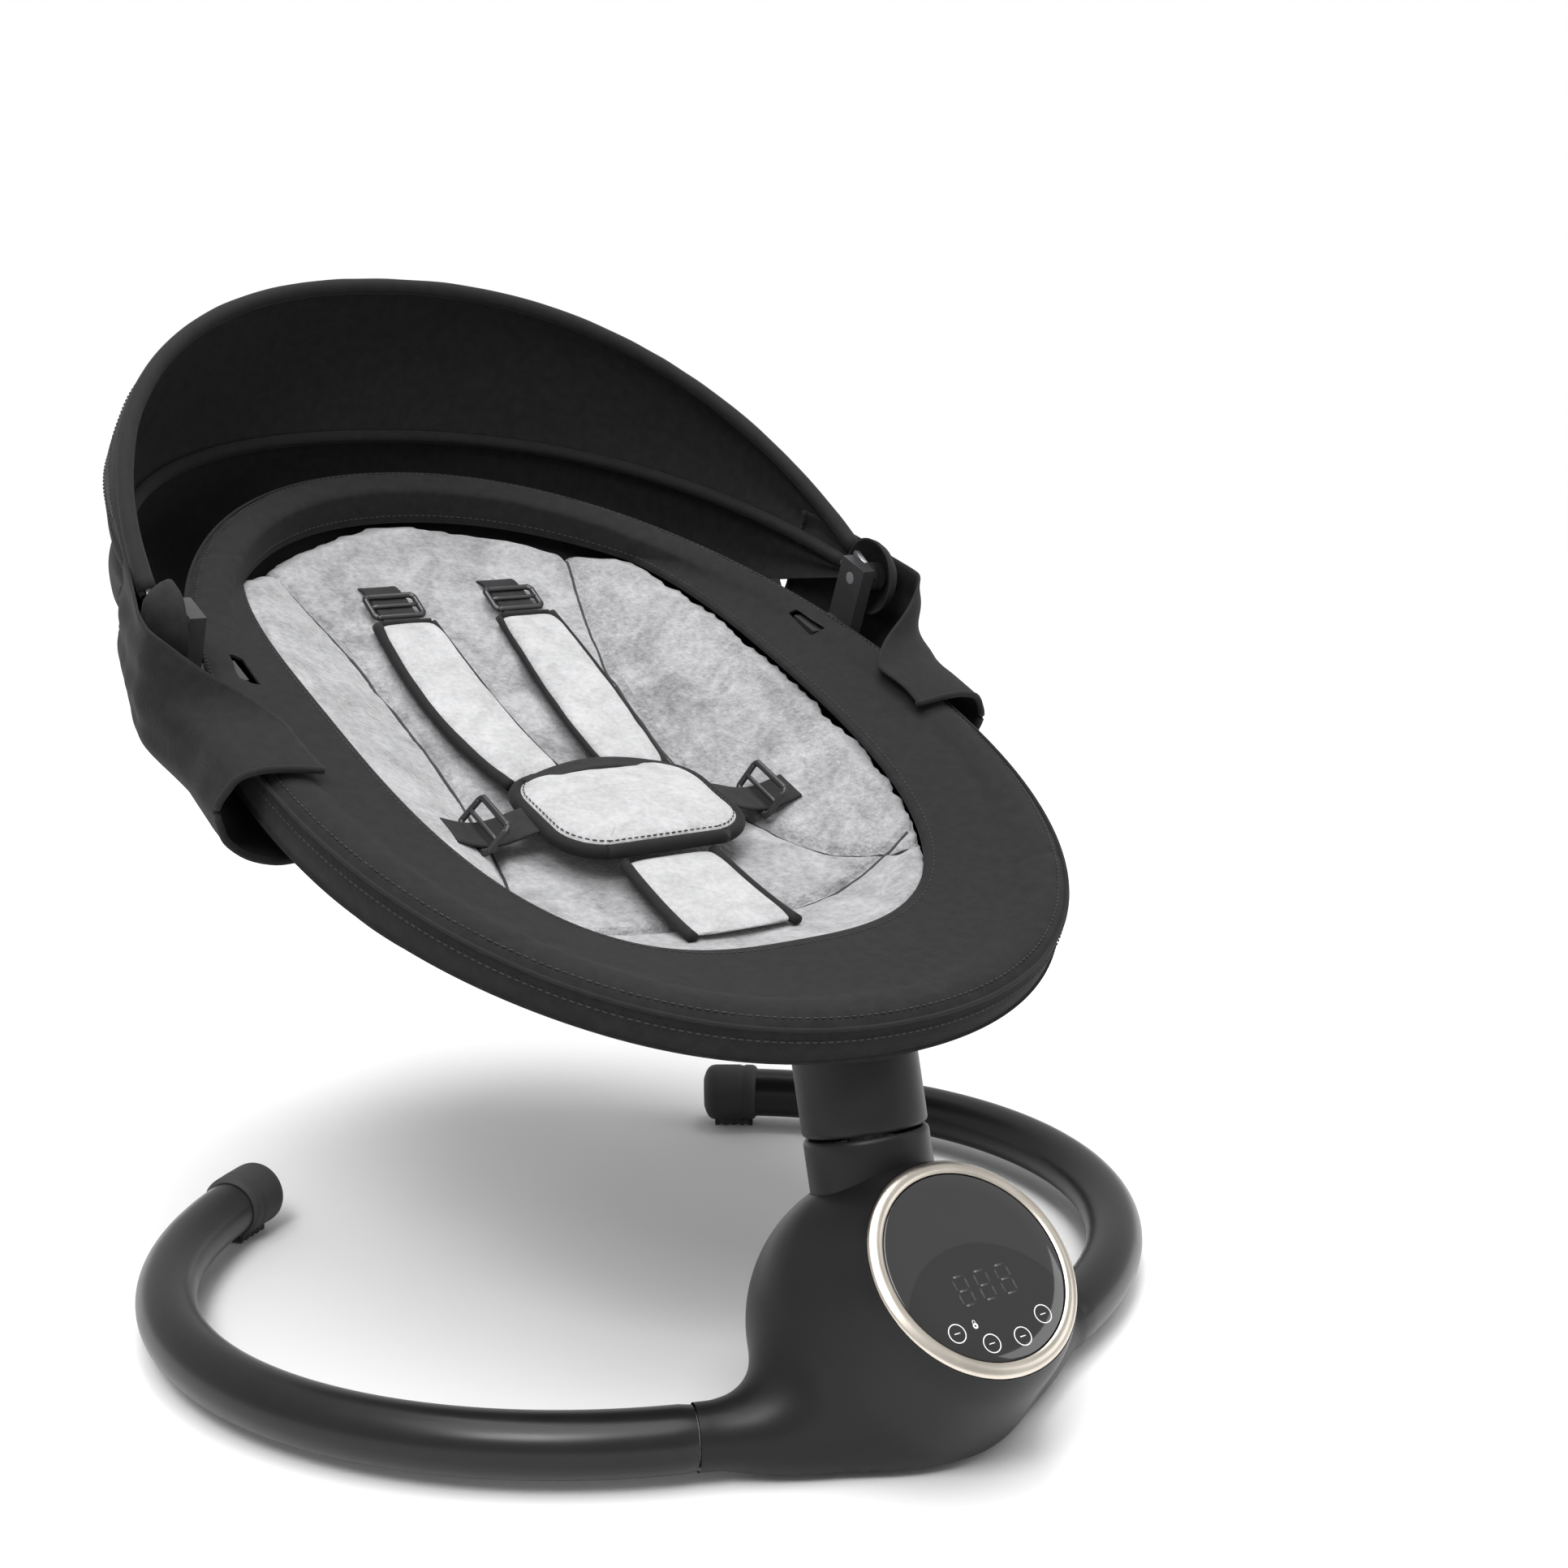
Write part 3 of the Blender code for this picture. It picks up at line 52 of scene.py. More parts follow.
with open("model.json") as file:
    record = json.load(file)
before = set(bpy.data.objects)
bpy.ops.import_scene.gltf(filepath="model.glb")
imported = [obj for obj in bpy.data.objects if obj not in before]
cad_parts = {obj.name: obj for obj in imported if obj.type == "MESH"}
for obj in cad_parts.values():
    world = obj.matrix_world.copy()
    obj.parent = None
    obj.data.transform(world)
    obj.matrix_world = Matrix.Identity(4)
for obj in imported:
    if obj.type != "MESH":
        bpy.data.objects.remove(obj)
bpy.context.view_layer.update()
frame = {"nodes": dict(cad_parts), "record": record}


# ---- frames the pieces are built in --------------------------------------------------------------
def leaning(place, degrees):
    """A frame at a place, tipped about the X axis."""
    return Matrix.Translation(place) @ Matrix.Rotation(math.radians(degrees), 4, "X")


SEAT = leaning((0, 0.2699, 0.3246), 21.1)
STEM = leaning((0, 0.0185, 0.1447), -15.0)
PANEL = leaning((0, -0.0686, 0.1045), 90 - 45.7)
FLOOR = Matrix.Identity(4)

SEAT_UP = np.array(SEAT.to_3x3().col[2])
STEM_UP = np.array(STEM.to_3x3().col[2])
PANEL_UP = np.array(PANEL.to_3x3().col[2])

# Sizes in metres; angles in degrees.
FOOT_HEIGHT = 0.006
TUBE_RADIUS = 0.016
TUBE_Z = FOOT_HEIGHT + TUBE_RADIUS
BASE_HALF_WIDTH = 0.277
BASE_HALF_DEPTH = 0.238
BASE_CENTRE_Y = 0.214
ARM_HALF_SPAN = 0.114
LEG_END_ANGLE = 54.0
CAP_LENGTH = 0.031
BALL_CENTRE = np.array((0, -0.010, 0.055))
BALL_RADIUS = 0.075
NOSE_RADIUS = math.hypot(0.024, 0.0572)
PANEL_RADIUS = 0.0554
GLASS_RADIUS = 0.0476
STEM_RADIUS = 0.0315
SEAT_HALF_WIDTH = 0.2203
SEAT_HALF_LENGTH = 0.3127
SEAT_ROUNDNESS = 2.12
SEAT_TAPER = -0.066
PIVOT_PLACE = 0.0718
PIVOT_HEIGHT = 0.0289
CANOPY_ROUNDNESS = 2.226


def placed(points, place):
    """Points of one of the frames above, in the world."""
    turn, shift = np.array(place.to_3x3()), np.array(place.translation)
    return np.asarray(points, float) @ turn.T + shift


def local(points, place):
    """World points in one of the frames above."""
    return placed(points, place.inverted())


def power(value, exponent):
    """A power that keeps the sign, for rounded outlines."""
    return np.sign(value) * np.abs(value) ** exponent


def ease(value, low, high):
    """A smooth step from 0 at low to 1 at high."""
    share = np.clip((value - low) / (high - low), 0, 1)
    return share * share * (3 - 2 * share)


def bump(value, middle, width):
    """A soft bump of height 1."""
    return np.exp(-(((value - middle) / width) ** 2))


# ---- mesh helpers --------------------------------------------------------------------------------
def mesh_object(name, points, faces, smooth=True):
    """A mesh in the scene, its doubled points welded."""
    mesh = bpy.data.meshes.new(name)
    mesh.from_pydata(np.asarray(points, float).tolist(), [], faces)
    work = bmesh.new()
    work.from_mesh(mesh)
    bmesh.ops.remove_doubles(work, verts=work.verts, dist=1e-6)
    bmesh.ops.recalc_face_normals(work, faces=work.faces)
    work.to_mesh(mesh)
    work.free()
    if smooth:
        mesh.shade_smooth()
    item = bpy.data.objects.new(name, mesh)
    bpy.context.scene.collection.objects.link(item)
    return item


def grid_faces(rows, columns, around=False, loop=False, start=0):
    """Quads of a grid; around closes its rows, loop its columns."""
    faces = []
    for i in range(rows if loop else rows - 1):
        low, high = i * columns, (i + 1) % rows * columns
        for j in range(columns if around else columns - 1):
            k = (j + 1) % columns
            faces.append((start + low + j, start + low + k, start + high + k, start + high + j))
    return faces


def lofted(name, rings, loop=False):
    """A closed form through closed rings of points."""
    rings = np.asarray(rings, float)
    rows, columns = rings.shape[:2]
    faces = grid_faces(rows, columns, around=True, loop=loop)
    if not loop:
        faces += [tuple(range(columns)), tuple(range((rows - 1) * columns, rows * columns))]
    return mesh_object(name, rings.reshape(-1, 3), faces)


def grid_normals(grid, around):
    """The direction that each point of a grid faces."""
    if around:
        along = np.roll(grid, -1, 1) - np.roll(grid, 1, 1)
    else:
        along = np.gradient(grid, axis=1)
    across = np.gradient(grid, axis=0)
    normals = np.cross(across, along)
    return normals / np.maximum(np.linalg.norm(normals, axis=2, keepdims=True), 1e-12)


def cloth_sheet(name, grid, thickness, around=False):
    """A thin closed skin; the grid is its outer face, and its thickness lies behind that."""
    grid = np.asarray(grid, float)
    rows, columns = grid.shape[:2]
    back = grid - grid_normals(grid, around) * thickness
    count = rows * columns
    faces = grid_faces(rows, columns, around)
    faces += [tuple(reversed(f)) for f in grid_faces(rows, columns, around, start=count)]
    edges = []
    if around:
        for row in (0, rows - 1):
            line = [row * columns + j for j in range(columns)]
            edges.append(line + line[:1])
    else:
        line = list(range(columns)) + [i * columns + columns - 1 for i in range(1, rows)]
        line += [(rows - 1) * columns + j for j in range(columns - 2, -1, -1)]
        line += [i * columns for i in range(rows - 2, -1, -1)]
        edges.append(line)
    for line in edges:
        faces += [(a, b, count + b, count + a) for a, b in zip(line, line[1:])]
    return mesh_object(name, np.concatenate([grid.reshape(-1, 3), back.reshape(-1, 3)]), faces)


def smooth_line(points, count, closed=False):
    """Points evenly spaced along a smooth curve through the given ones."""
    points = np.asarray(points, float)
    if closed:
        points = np.concatenate([points[-2:], points, points[:3]])
    else:
        points = np.concatenate([[2 * points[0] - points[1]], points, [2 * points[-1] - points[-2]]])
    t = np.linspace(0, 1, 17)[:-1, None]
    line = []
    for a, b, c, d in zip(points, points[1:], points[2:], points[3:]):
        line.append(0.5 * (2 * b + (c - a) * t + (2 * a - 5 * b + 4 * c - d) * t**2
                           + (3 * b - a - 3 * c + d) * t**3))
    line = np.concatenate(line + [points[-2:-1]])
    if closed:
        line = line[16:-16]
    reach = np.concatenate([[0], np.cumsum(np.linalg.norm(np.diff(line, axis=0), axis=1))])
    at = np.linspace(0, reach[-1], count + 1 if closed else count)
    if closed:
        at = at[:-1]
    return np.stack([np.interp(at, reach, line[:, k]) for k in range(line.shape[1])], axis=1)


def turned(name, profile, place, sides=96, bored=False):
    """A piece turned from (radius, height) points; a bored piece's go all round its section."""
    turns = np.linspace(0, 2 * math.pi, sides, endpoint=False)
    rings = [np.stack([r * np.cos(turns), r * np.sin(turns), np.full(sides, z)], axis=1) for r, z in profile]
    return lofted(name, placed(rings, place), loop=bored)


def directions(path, closed=False):
    """The direction of a path at each of its points."""
    if closed:
        along = np.roll(path, -1, 0) - np.roll(path, 1, 0)
    else:
        along = np.gradient(path, axis=0)
    return along / np.linalg.norm(along, axis=1, keepdims=True)


def section_rings(path, section, up, closed=False):
    """Rings of (across, over) points along a path; up is one direction or one a point."""
    along = directions(path, closed)
    up = np.broadcast_to(np.asarray(up, float), path.shape)
    side = np.cross(along, up)
    side /= np.linalg.norm(side, axis=1, keepdims=True)
    over = np.cross(side, along)
    section = np.asarray(section, float)
    if section.ndim == 2:
        section = np.broadcast_to(section, (len(path),) + section.shape)
    return path[:, None] + side[:, None] * section[..., :1] + over[:, None] * section[..., 1:]


def round_section(radius, sides=24, squash=1.0):
    """A round section, or an oval one when it is squashed."""
    turns = np.linspace(0, 2 * math.pi, sides, endpoint=False)
    return np.stack([radius * np.cos(turns), radius * squash * np.sin(turns)], axis=1)


def flat_section(width, thickness, bead=0.0):
    """A strap's section: rounded edges, and a little thicker at them when bead is set."""
    half, high = width / 2, thickness / 2
    xs = np.linspace(-half + high, half - high, 13)
    lift = high + bead * bump(np.abs(xs), half - 2 * high, 2 * high)
    top = np.stack([xs, lift], axis=1)
    low = np.stack([xs[::-1], -lift[::-1]], axis=1)
    return np.concatenate([top, [[half, 0]], low, [[-half, 0]]])


def tube(name, path, radius, up=(0, 0, 1), sides=24, closed=False):
    """A round bar; radius is one size or one a point."""
    path = np.asarray(path, float)
    sizes = np.broadcast_to(np.asarray(radius, float), (len(path),))
    rings = section_rings(path, np.stack([round_section(size, sides) for size in sizes]), up, closed)
    return lofted(name, rings, loop=closed)


def merged(name, items):
    """Several meshes made one object."""
    work = bmesh.new()
    for item in items:
        work.from_mesh(item.data)
    mesh = bpy.data.meshes.new(name)
    work.to_mesh(mesh)
    work.free()
    mesh.shade_smooth()
    for item in items:
        bpy.data.objects.remove(item)
    item = bpy.data.objects.new(name, mesh)
    bpy.context.scene.collection.objects.link(item)
    return item


def settled(item):
    """The object's modifiers applied."""
    bpy.context.view_layer.update()
    mesh = bpy.data.meshes.new_from_object(item.evaluated_get(bpy.context.evaluated_depsgraph_get()))
    item.modifiers.clear()
    item.data = mesh
    return item


def carved(item, tools, sharp=35.0):
    """The object with each tool cut out of it."""
    for tool in tools:
        step = item.modifiers.new(tool.name, "BOOLEAN")
        step.operation = "DIFFERENCE"
        step.solver = "FAST"
        step.object = tool
    settled(item)
    for tool in tools:
        bpy.data.objects.remove(tool)
    item.data.shade_smooth()
    item.data.set_sharp_from_angle(angle=math.radians(sharp))
    return item


def block(name, low, high, place=FLOOR):
    """A square block between two corners, for cutting and small ribs."""
    corners = [(low[0], low[1]), (high[0], low[1]), (high[0], high[1]), (low[0], high[1])]
    return lofted(name, placed([[(x, y, z) for x, y in corners] for z in (low[2], high[2])], place))


def points_of(item):
    """The mesh's points as an array."""
    points = np.empty(len(item.data.vertices) * 3, np.float32)
    item.data.vertices.foreach_get("co", points)
    return points.reshape(-1, 3).astype(float)


def move_points(item, points):
    """Puts the points of a mesh in new places."""
    item.data.vertices.foreach_set("co", np.asarray(points, np.float32).ravel())
    item.data.update()


def normals_of(item):
    """The direction that each point of a mesh faces."""
    normals = np.empty(len(item.data.vertices) * 3, np.float32)
    item.data.vertex_normals.foreach_get("vector", normals)
    return normals.reshape(-1, 3).astype(float)


def ripple(points, scale, seed=0.0):
    """Smooth noise from -1 to 1 at each point; scale is the size of its features, in metres."""
    scale = np.broadcast_to(np.asarray(scale, float), (3,))
    flat = np.asarray(points, float).reshape(-1, 3) / scale + seed * 7.31
    values = [noise.noise(Vector(p)) for p in flat]
    return np.array(values).reshape(np.shape(points)[:-1])


def sharpen(item, degrees=32.0):
    """Keeps edges steeper than this crisp."""
    item.data.set_sharp_from_angle(angle=math.radians(degrees))
    return item


def done(item, body, finish, slot, *nodes):
    """Gives a piece its finish and its place in the swing."""
    item.data.materials.clear()
    item.data.materials.append(finish)
    if nodes:
        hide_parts(*nodes)
    if body:
        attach(item, body)
    return item


# ---- finishes ------------------------------------------------------------------------------------
def effect(name, inputs, outputs):
    """An empty shader node group with these named inputs and outputs."""
    group = bpy.data.node_groups.new(name, "ShaderNodeTree")
    for label, kind, default in inputs:
        socket = group.interface.new_socket(label, in_out="INPUT", socket_type=kind)
        socket.default_value = default
    for label, kind in outputs:
        group.interface.new_socket(label, in_out="OUTPUT", socket_type=kind)
    return group, group.nodes.new("NodeGroupInput"), group.nodes.new("NodeGroupOutput")


def add_node(tree, kind, values=None, **settings):
    """A shader node with socket values and settings."""
    node = tree.nodes.new(kind)
    for key, value in settings.items():
        setattr(node, key, value)
    for key, value in (values or {}).items():
        node.inputs[key].default_value = value
    return node


def joined_up(tree, *pairs):
    """Links each output to its input."""
    for source, target in pairs:
        tree.links.new(source, target)


def maths(tree, operation, first, second=None):
    """A Math node on sockets or numbers."""
    node = add_node(tree, "ShaderNodeMath", operation=operation)
    for socket, value in zip(node.inputs, (first, second)):
        if value is None:
            continue
        if isinstance(value, (int, float)):
            socket.default_value = value
        else:
            tree.links.new(value, socket)
    return node.outputs[0]


def grain_effect():
    """Fine and coarse noise in one: Height for bump, Mask for colour and gloss."""
    group, given, out = effect("surface_grain",
                               [("Fine", "NodeSocketFloat", 1200.0), ("Coarse", "NodeSocketFloat", 25.0),
                                ("Roughening", "NodeSocketFloat", 0.5)],
                               [("Height", "NodeSocketFloat"), ("Mask", "NodeSocketFloat")])
    place = add_node(group, "ShaderNodeTexCoord")
    fine = add_node(group, "ShaderNodeTexNoise", {"Detail": 2.0})
    coarse = add_node(group, "ShaderNodeTexNoise", {"Detail": 4.0})
    joined_up(group, (place.outputs["Object"], fine.inputs["Vector"]),
              (given.outputs["Fine"], fine.inputs["Scale"]),
              (place.outputs["Object"], coarse.inputs["Vector"]),
              (given.outputs["Coarse"], coarse.inputs["Scale"]),
              (given.outputs["Roughening"], fine.inputs["Roughness"]),
              (fine.outputs["Fac"], out.inputs["Height"]), (coarse.outputs["Fac"], out.inputs["Mask"]))
    return group


def weave_effect():
    """Crossed threads; Size is one thread's width, Slub how uneven the threads are."""
    group, given, out = effect(
        "cloth_weave",
        [("Size", "NodeSocketFloat", 0.0008), ("Slub", "NodeSocketFloat", 0.3)],
        [("Height", "NodeSocketFloat"), ("Mask", "NodeSocketFloat")])
    place = add_node(group, "ShaderNodeTexCoord")
    split = add_node(group, "ShaderNodeSeparateXYZ")
    wobble = add_node(group, "ShaderNodeTexNoise", {"Scale": 160.0, "Detail": 2.0})
    shift = maths(group, "MULTIPLY", wobble.outputs["Fac"], given.outputs["Slub"])
    turns = maths(group, "DIVIDE", math.pi, given.outputs["Size"])
    threads = []
    depth = maths(group, "ADD", split.outputs["Y"], split.outputs["Z"])
    for along in (split.outputs["X"], depth):
        phase = maths(group, "ADD", maths(group, "MULTIPLY", along, turns),
                      maths(group, "MULTIPLY", shift, 6.0))
        threads.append(maths(group, "ABSOLUTE", maths(group, "SINE", phase)))
    both = maths(group, "MAXIMUM", threads[0], threads[1])
    joined_up(group, (place.outputs["Object"], split.inputs[0]),
              (place.outputs["Object"], wobble.inputs["Vector"]), (both, out.inputs["Height"]),
              (wobble.outputs["Fac"], out.inputs["Mask"]))
    return group


def pile_effect():
    """Short brushed pile: clumps, and the light and dark patches that a hand leaves."""
    group, given, out = effect(
        "brushed_pile",
        [("Clump", "NodeSocketFloat", 260.0), ("Patch", "NodeSocketFloat", 42.0)],
        [("Height", "NodeSocketFloat"), ("Mask", "NodeSocketFloat")])
    place = add_node(group, "ShaderNodeTexCoord")
    clump = add_node(group, "ShaderNodeTexNoise", {"Detail": 3.0, "Roughness": 0.65})
    patch = add_node(group, "ShaderNodeTexNoise", {"Detail": 3.0, "Roughness": 0.55, "Distortion": 0.8})
    fleck = add_node(group, "ShaderNodeTexVoronoi", {"Scale": 420.0})
    mixed = maths(group, "ADD", maths(group, "MULTIPLY", clump.outputs["Fac"], 0.45),
                  maths(group, "MULTIPLY", patch.outputs["Fac"], 0.55))
    height = maths(group, "SUBTRACT", clump.outputs["Fac"],
                   maths(group, "MULTIPLY", fleck.outputs["Distance"], 0.5))
    joined_up(group, (place.outputs["Object"], clump.inputs["Vector"]),
              (given.outputs["Clump"], clump.inputs["Scale"]),
              (place.outputs["Object"], patch.inputs["Vector"]),
              (given.outputs["Patch"], patch.inputs["Scale"]),
              (place.outputs["Object"], fleck.inputs["Vector"]), (height, out.inputs["Height"]),
              (mixed, out.inputs["Mask"]))
    return group


def wear_effect():
    """Handled edges and settled dust: Wear on convex edges, Dust on faces that look up."""
    group, given, out = effect(
        "wear_and_dust",
        [("Wear", "NodeSocketFloat", 0.3), ("Dust", "NodeSocketFloat", 0.1)],
        [("Wear", "NodeSocketFloat"), ("Dust", "NodeSocketFloat")])
    shape = add_node(group, "ShaderNodeNewGeometry")
    split = add_node(group, "ShaderNodeSeparateXYZ")
    speck = add_node(group, "ShaderNodeTexNoise", {"Scale": 70.0, "Detail": 5.0, "Roughness": 0.7})
    edge = add_node(group, "ShaderNodeMapRange", {"From Min": 0.53, "From Max": 0.60})
    facing = add_node(group, "ShaderNodeMapRange", {"From Min": 0.2, "From Max": 1.0})
    worn = maths(group, "MULTIPLY", maths(group, "MULTIPLY", edge.outputs[0], speck.outputs["Fac"]),
                 given.outputs["Wear"])
    dusty = maths(group, "MULTIPLY", maths(group, "MULTIPLY", facing.outputs[0], speck.outputs["Fac"]),
                  given.outputs["Dust"])
    joined_up(group, (shape.outputs["Pointiness"], edge.inputs["Value"]),
              (shape.outputs["Normal"], split.inputs[0]), (split.outputs["Z"], facing.inputs["Value"]),
              (worn, out.inputs["Wear"]), (dusty, out.inputs["Dust"]))
    return group


EFFECTS = {"grain": grain_effect, "weave": weave_effect, "pile": pile_effect, "wear": wear_effect}
BUILT = {}


def effect_node(tree, key, **values):
    """One of the shared effects, with its own values."""
    if key not in BUILT:
        BUILT[key] = EFFECTS[key]()
    return add_node(tree, "ShaderNodeGroup", values, node_tree=BUILT[key])


def finish(name, dark, light, gloss, pattern, bump_depth, bump_strength, values, wear=(0.2, 0.015), **shader):
    """A finish whose colour runs from dark to light, and its gloss between two values, over a pattern."""
    made = bpy.data.materials.new(name)
    made.use_nodes = True
    tree = made.node_tree
    body = tree.nodes["Principled BSDF"]
    for key, value in shader.items():
        body.inputs[key.replace("_", " ")].default_value = value
    texture = effect_node(tree, pattern, **values)
    spread = add_node(tree, "ShaderNodeMapRange", {"From Min": MASK_LOW, "From Max": MASK_HIGH})
    colour = add_node(tree, "ShaderNodeMix", data_type="RGBA")
    colour.inputs["A"].default_value = (*dark, 1)
    colour.inputs["B"].default_value = (*light, 1)
    use = effect_node(tree, "wear", Wear=wear[0], Dust=wear[1])
    marked = add_node(tree, "ShaderNodeMix", data_type="RGBA")
    marked.inputs["B"].default_value = (*[min(0.5, 2.2 * c + 0.04) for c in light], 1)
    dusted = add_node(tree, "ShaderNodeMix", data_type="RGBA")
    dusted.inputs["B"].default_value = DUST_COLOUR
    rough = add_node(tree, "ShaderNodeMapRange", {"To Min": gloss[0], "To Max": gloss[1]})
    relief = add_node(tree, "ShaderNodeBump", {"Strength": bump_strength, "Distance": bump_depth})
    joined_up(tree, (texture.outputs["Mask"], spread.inputs["Value"]),
              (spread.outputs[0], colour.inputs["Factor"]), (colour.outputs["Result"], marked.inputs["A"]),
              (use.outputs["Wear"], marked.inputs["Factor"]), (marked.outputs["Result"], dusted.inputs["A"]),
              (use.outputs["Dust"], dusted.inputs["Factor"]),
              (dusted.outputs["Result"], body.inputs["Base Color"]),
              (texture.outputs["Mask"], rough.inputs["Value"]), (rough.outputs[0], body.inputs["Roughness"]),
              (texture.outputs["Height"], relief.inputs["Height"]),
              (relief.outputs[0], body.inputs["Normal"]))
    return made


def scaled(colour, factor):
    """A lighter or darker colour."""
    return tuple(min(1.0, c * factor) for c in colour[:3])


LENS_CENTRE = -0.038
LENS_RADIUS = 0.0495
LENS_EDGE = 0.0004
MASK_LOW, MASK_HIGH = 0.32, 0.68
DUST_COLOUR = (0.34, 0.33, 0.32, 1)
UNWORN = (0.0, 0.0)


def glass_finish(colours):
    """Gloss black glass with the darker lens of the display printed behind its lower half."""
    made = finish("panel_glass", scaled(colours.glass, 0.9), scaled(colours.glass, 1.1), (0.05, 0.09),
                  "grain", 0.00001, 0.02, {"Fine": 300.0, "Coarse": 12.0}, wear=(0.0, 0.01), Coat_Weight=1.0,
                  Coat_Roughness=0.03)
    tree = made.node_tree
    body = tree.nodes["Principled BSDF"]
    place = add_node(tree, "ShaderNodeTexCoord")
    turned_in = add_node(tree, "ShaderNodeMapping", vector_type="TEXTURE")
    turned_in.inputs["Location"].default_value = PANEL.translation
    turned_in.inputs["Rotation"].default_value = PANEL.to_euler()
    reach = add_node(tree, "ShaderNodeVectorMath", operation="DISTANCE")
    reach.inputs[1].default_value = (-0.004, LENS_CENTRE, 0)
    edge = add_node(tree, "ShaderNodeMapRange",
                    {"From Min": LENS_RADIUS - LENS_EDGE, "From Max": LENS_RADIUS + LENS_EDGE})
    edge.inputs["To Min"].default_value = 1.0
    edge.inputs["To Max"].default_value = 0.0
    shade = add_node(tree, "ShaderNodeMix", data_type="RGBA")
    shade.inputs["B"].default_value = (*scaled(colours.glass, 0.25), 1)
    before = body.inputs["Base Color"].links[0].from_socket
    joined_up(tree, (place.outputs["Object"], turned_in.inputs[0]), (turned_in.outputs[0], reach.inputs[0]),
              (reach.outputs["Value"], edge.inputs["Value"]), (edge.outputs[0], shade.inputs["Factor"]),
              (before, shade.inputs["A"]), (shade.outputs["Result"], body.inputs["Base Color"]))
    return made


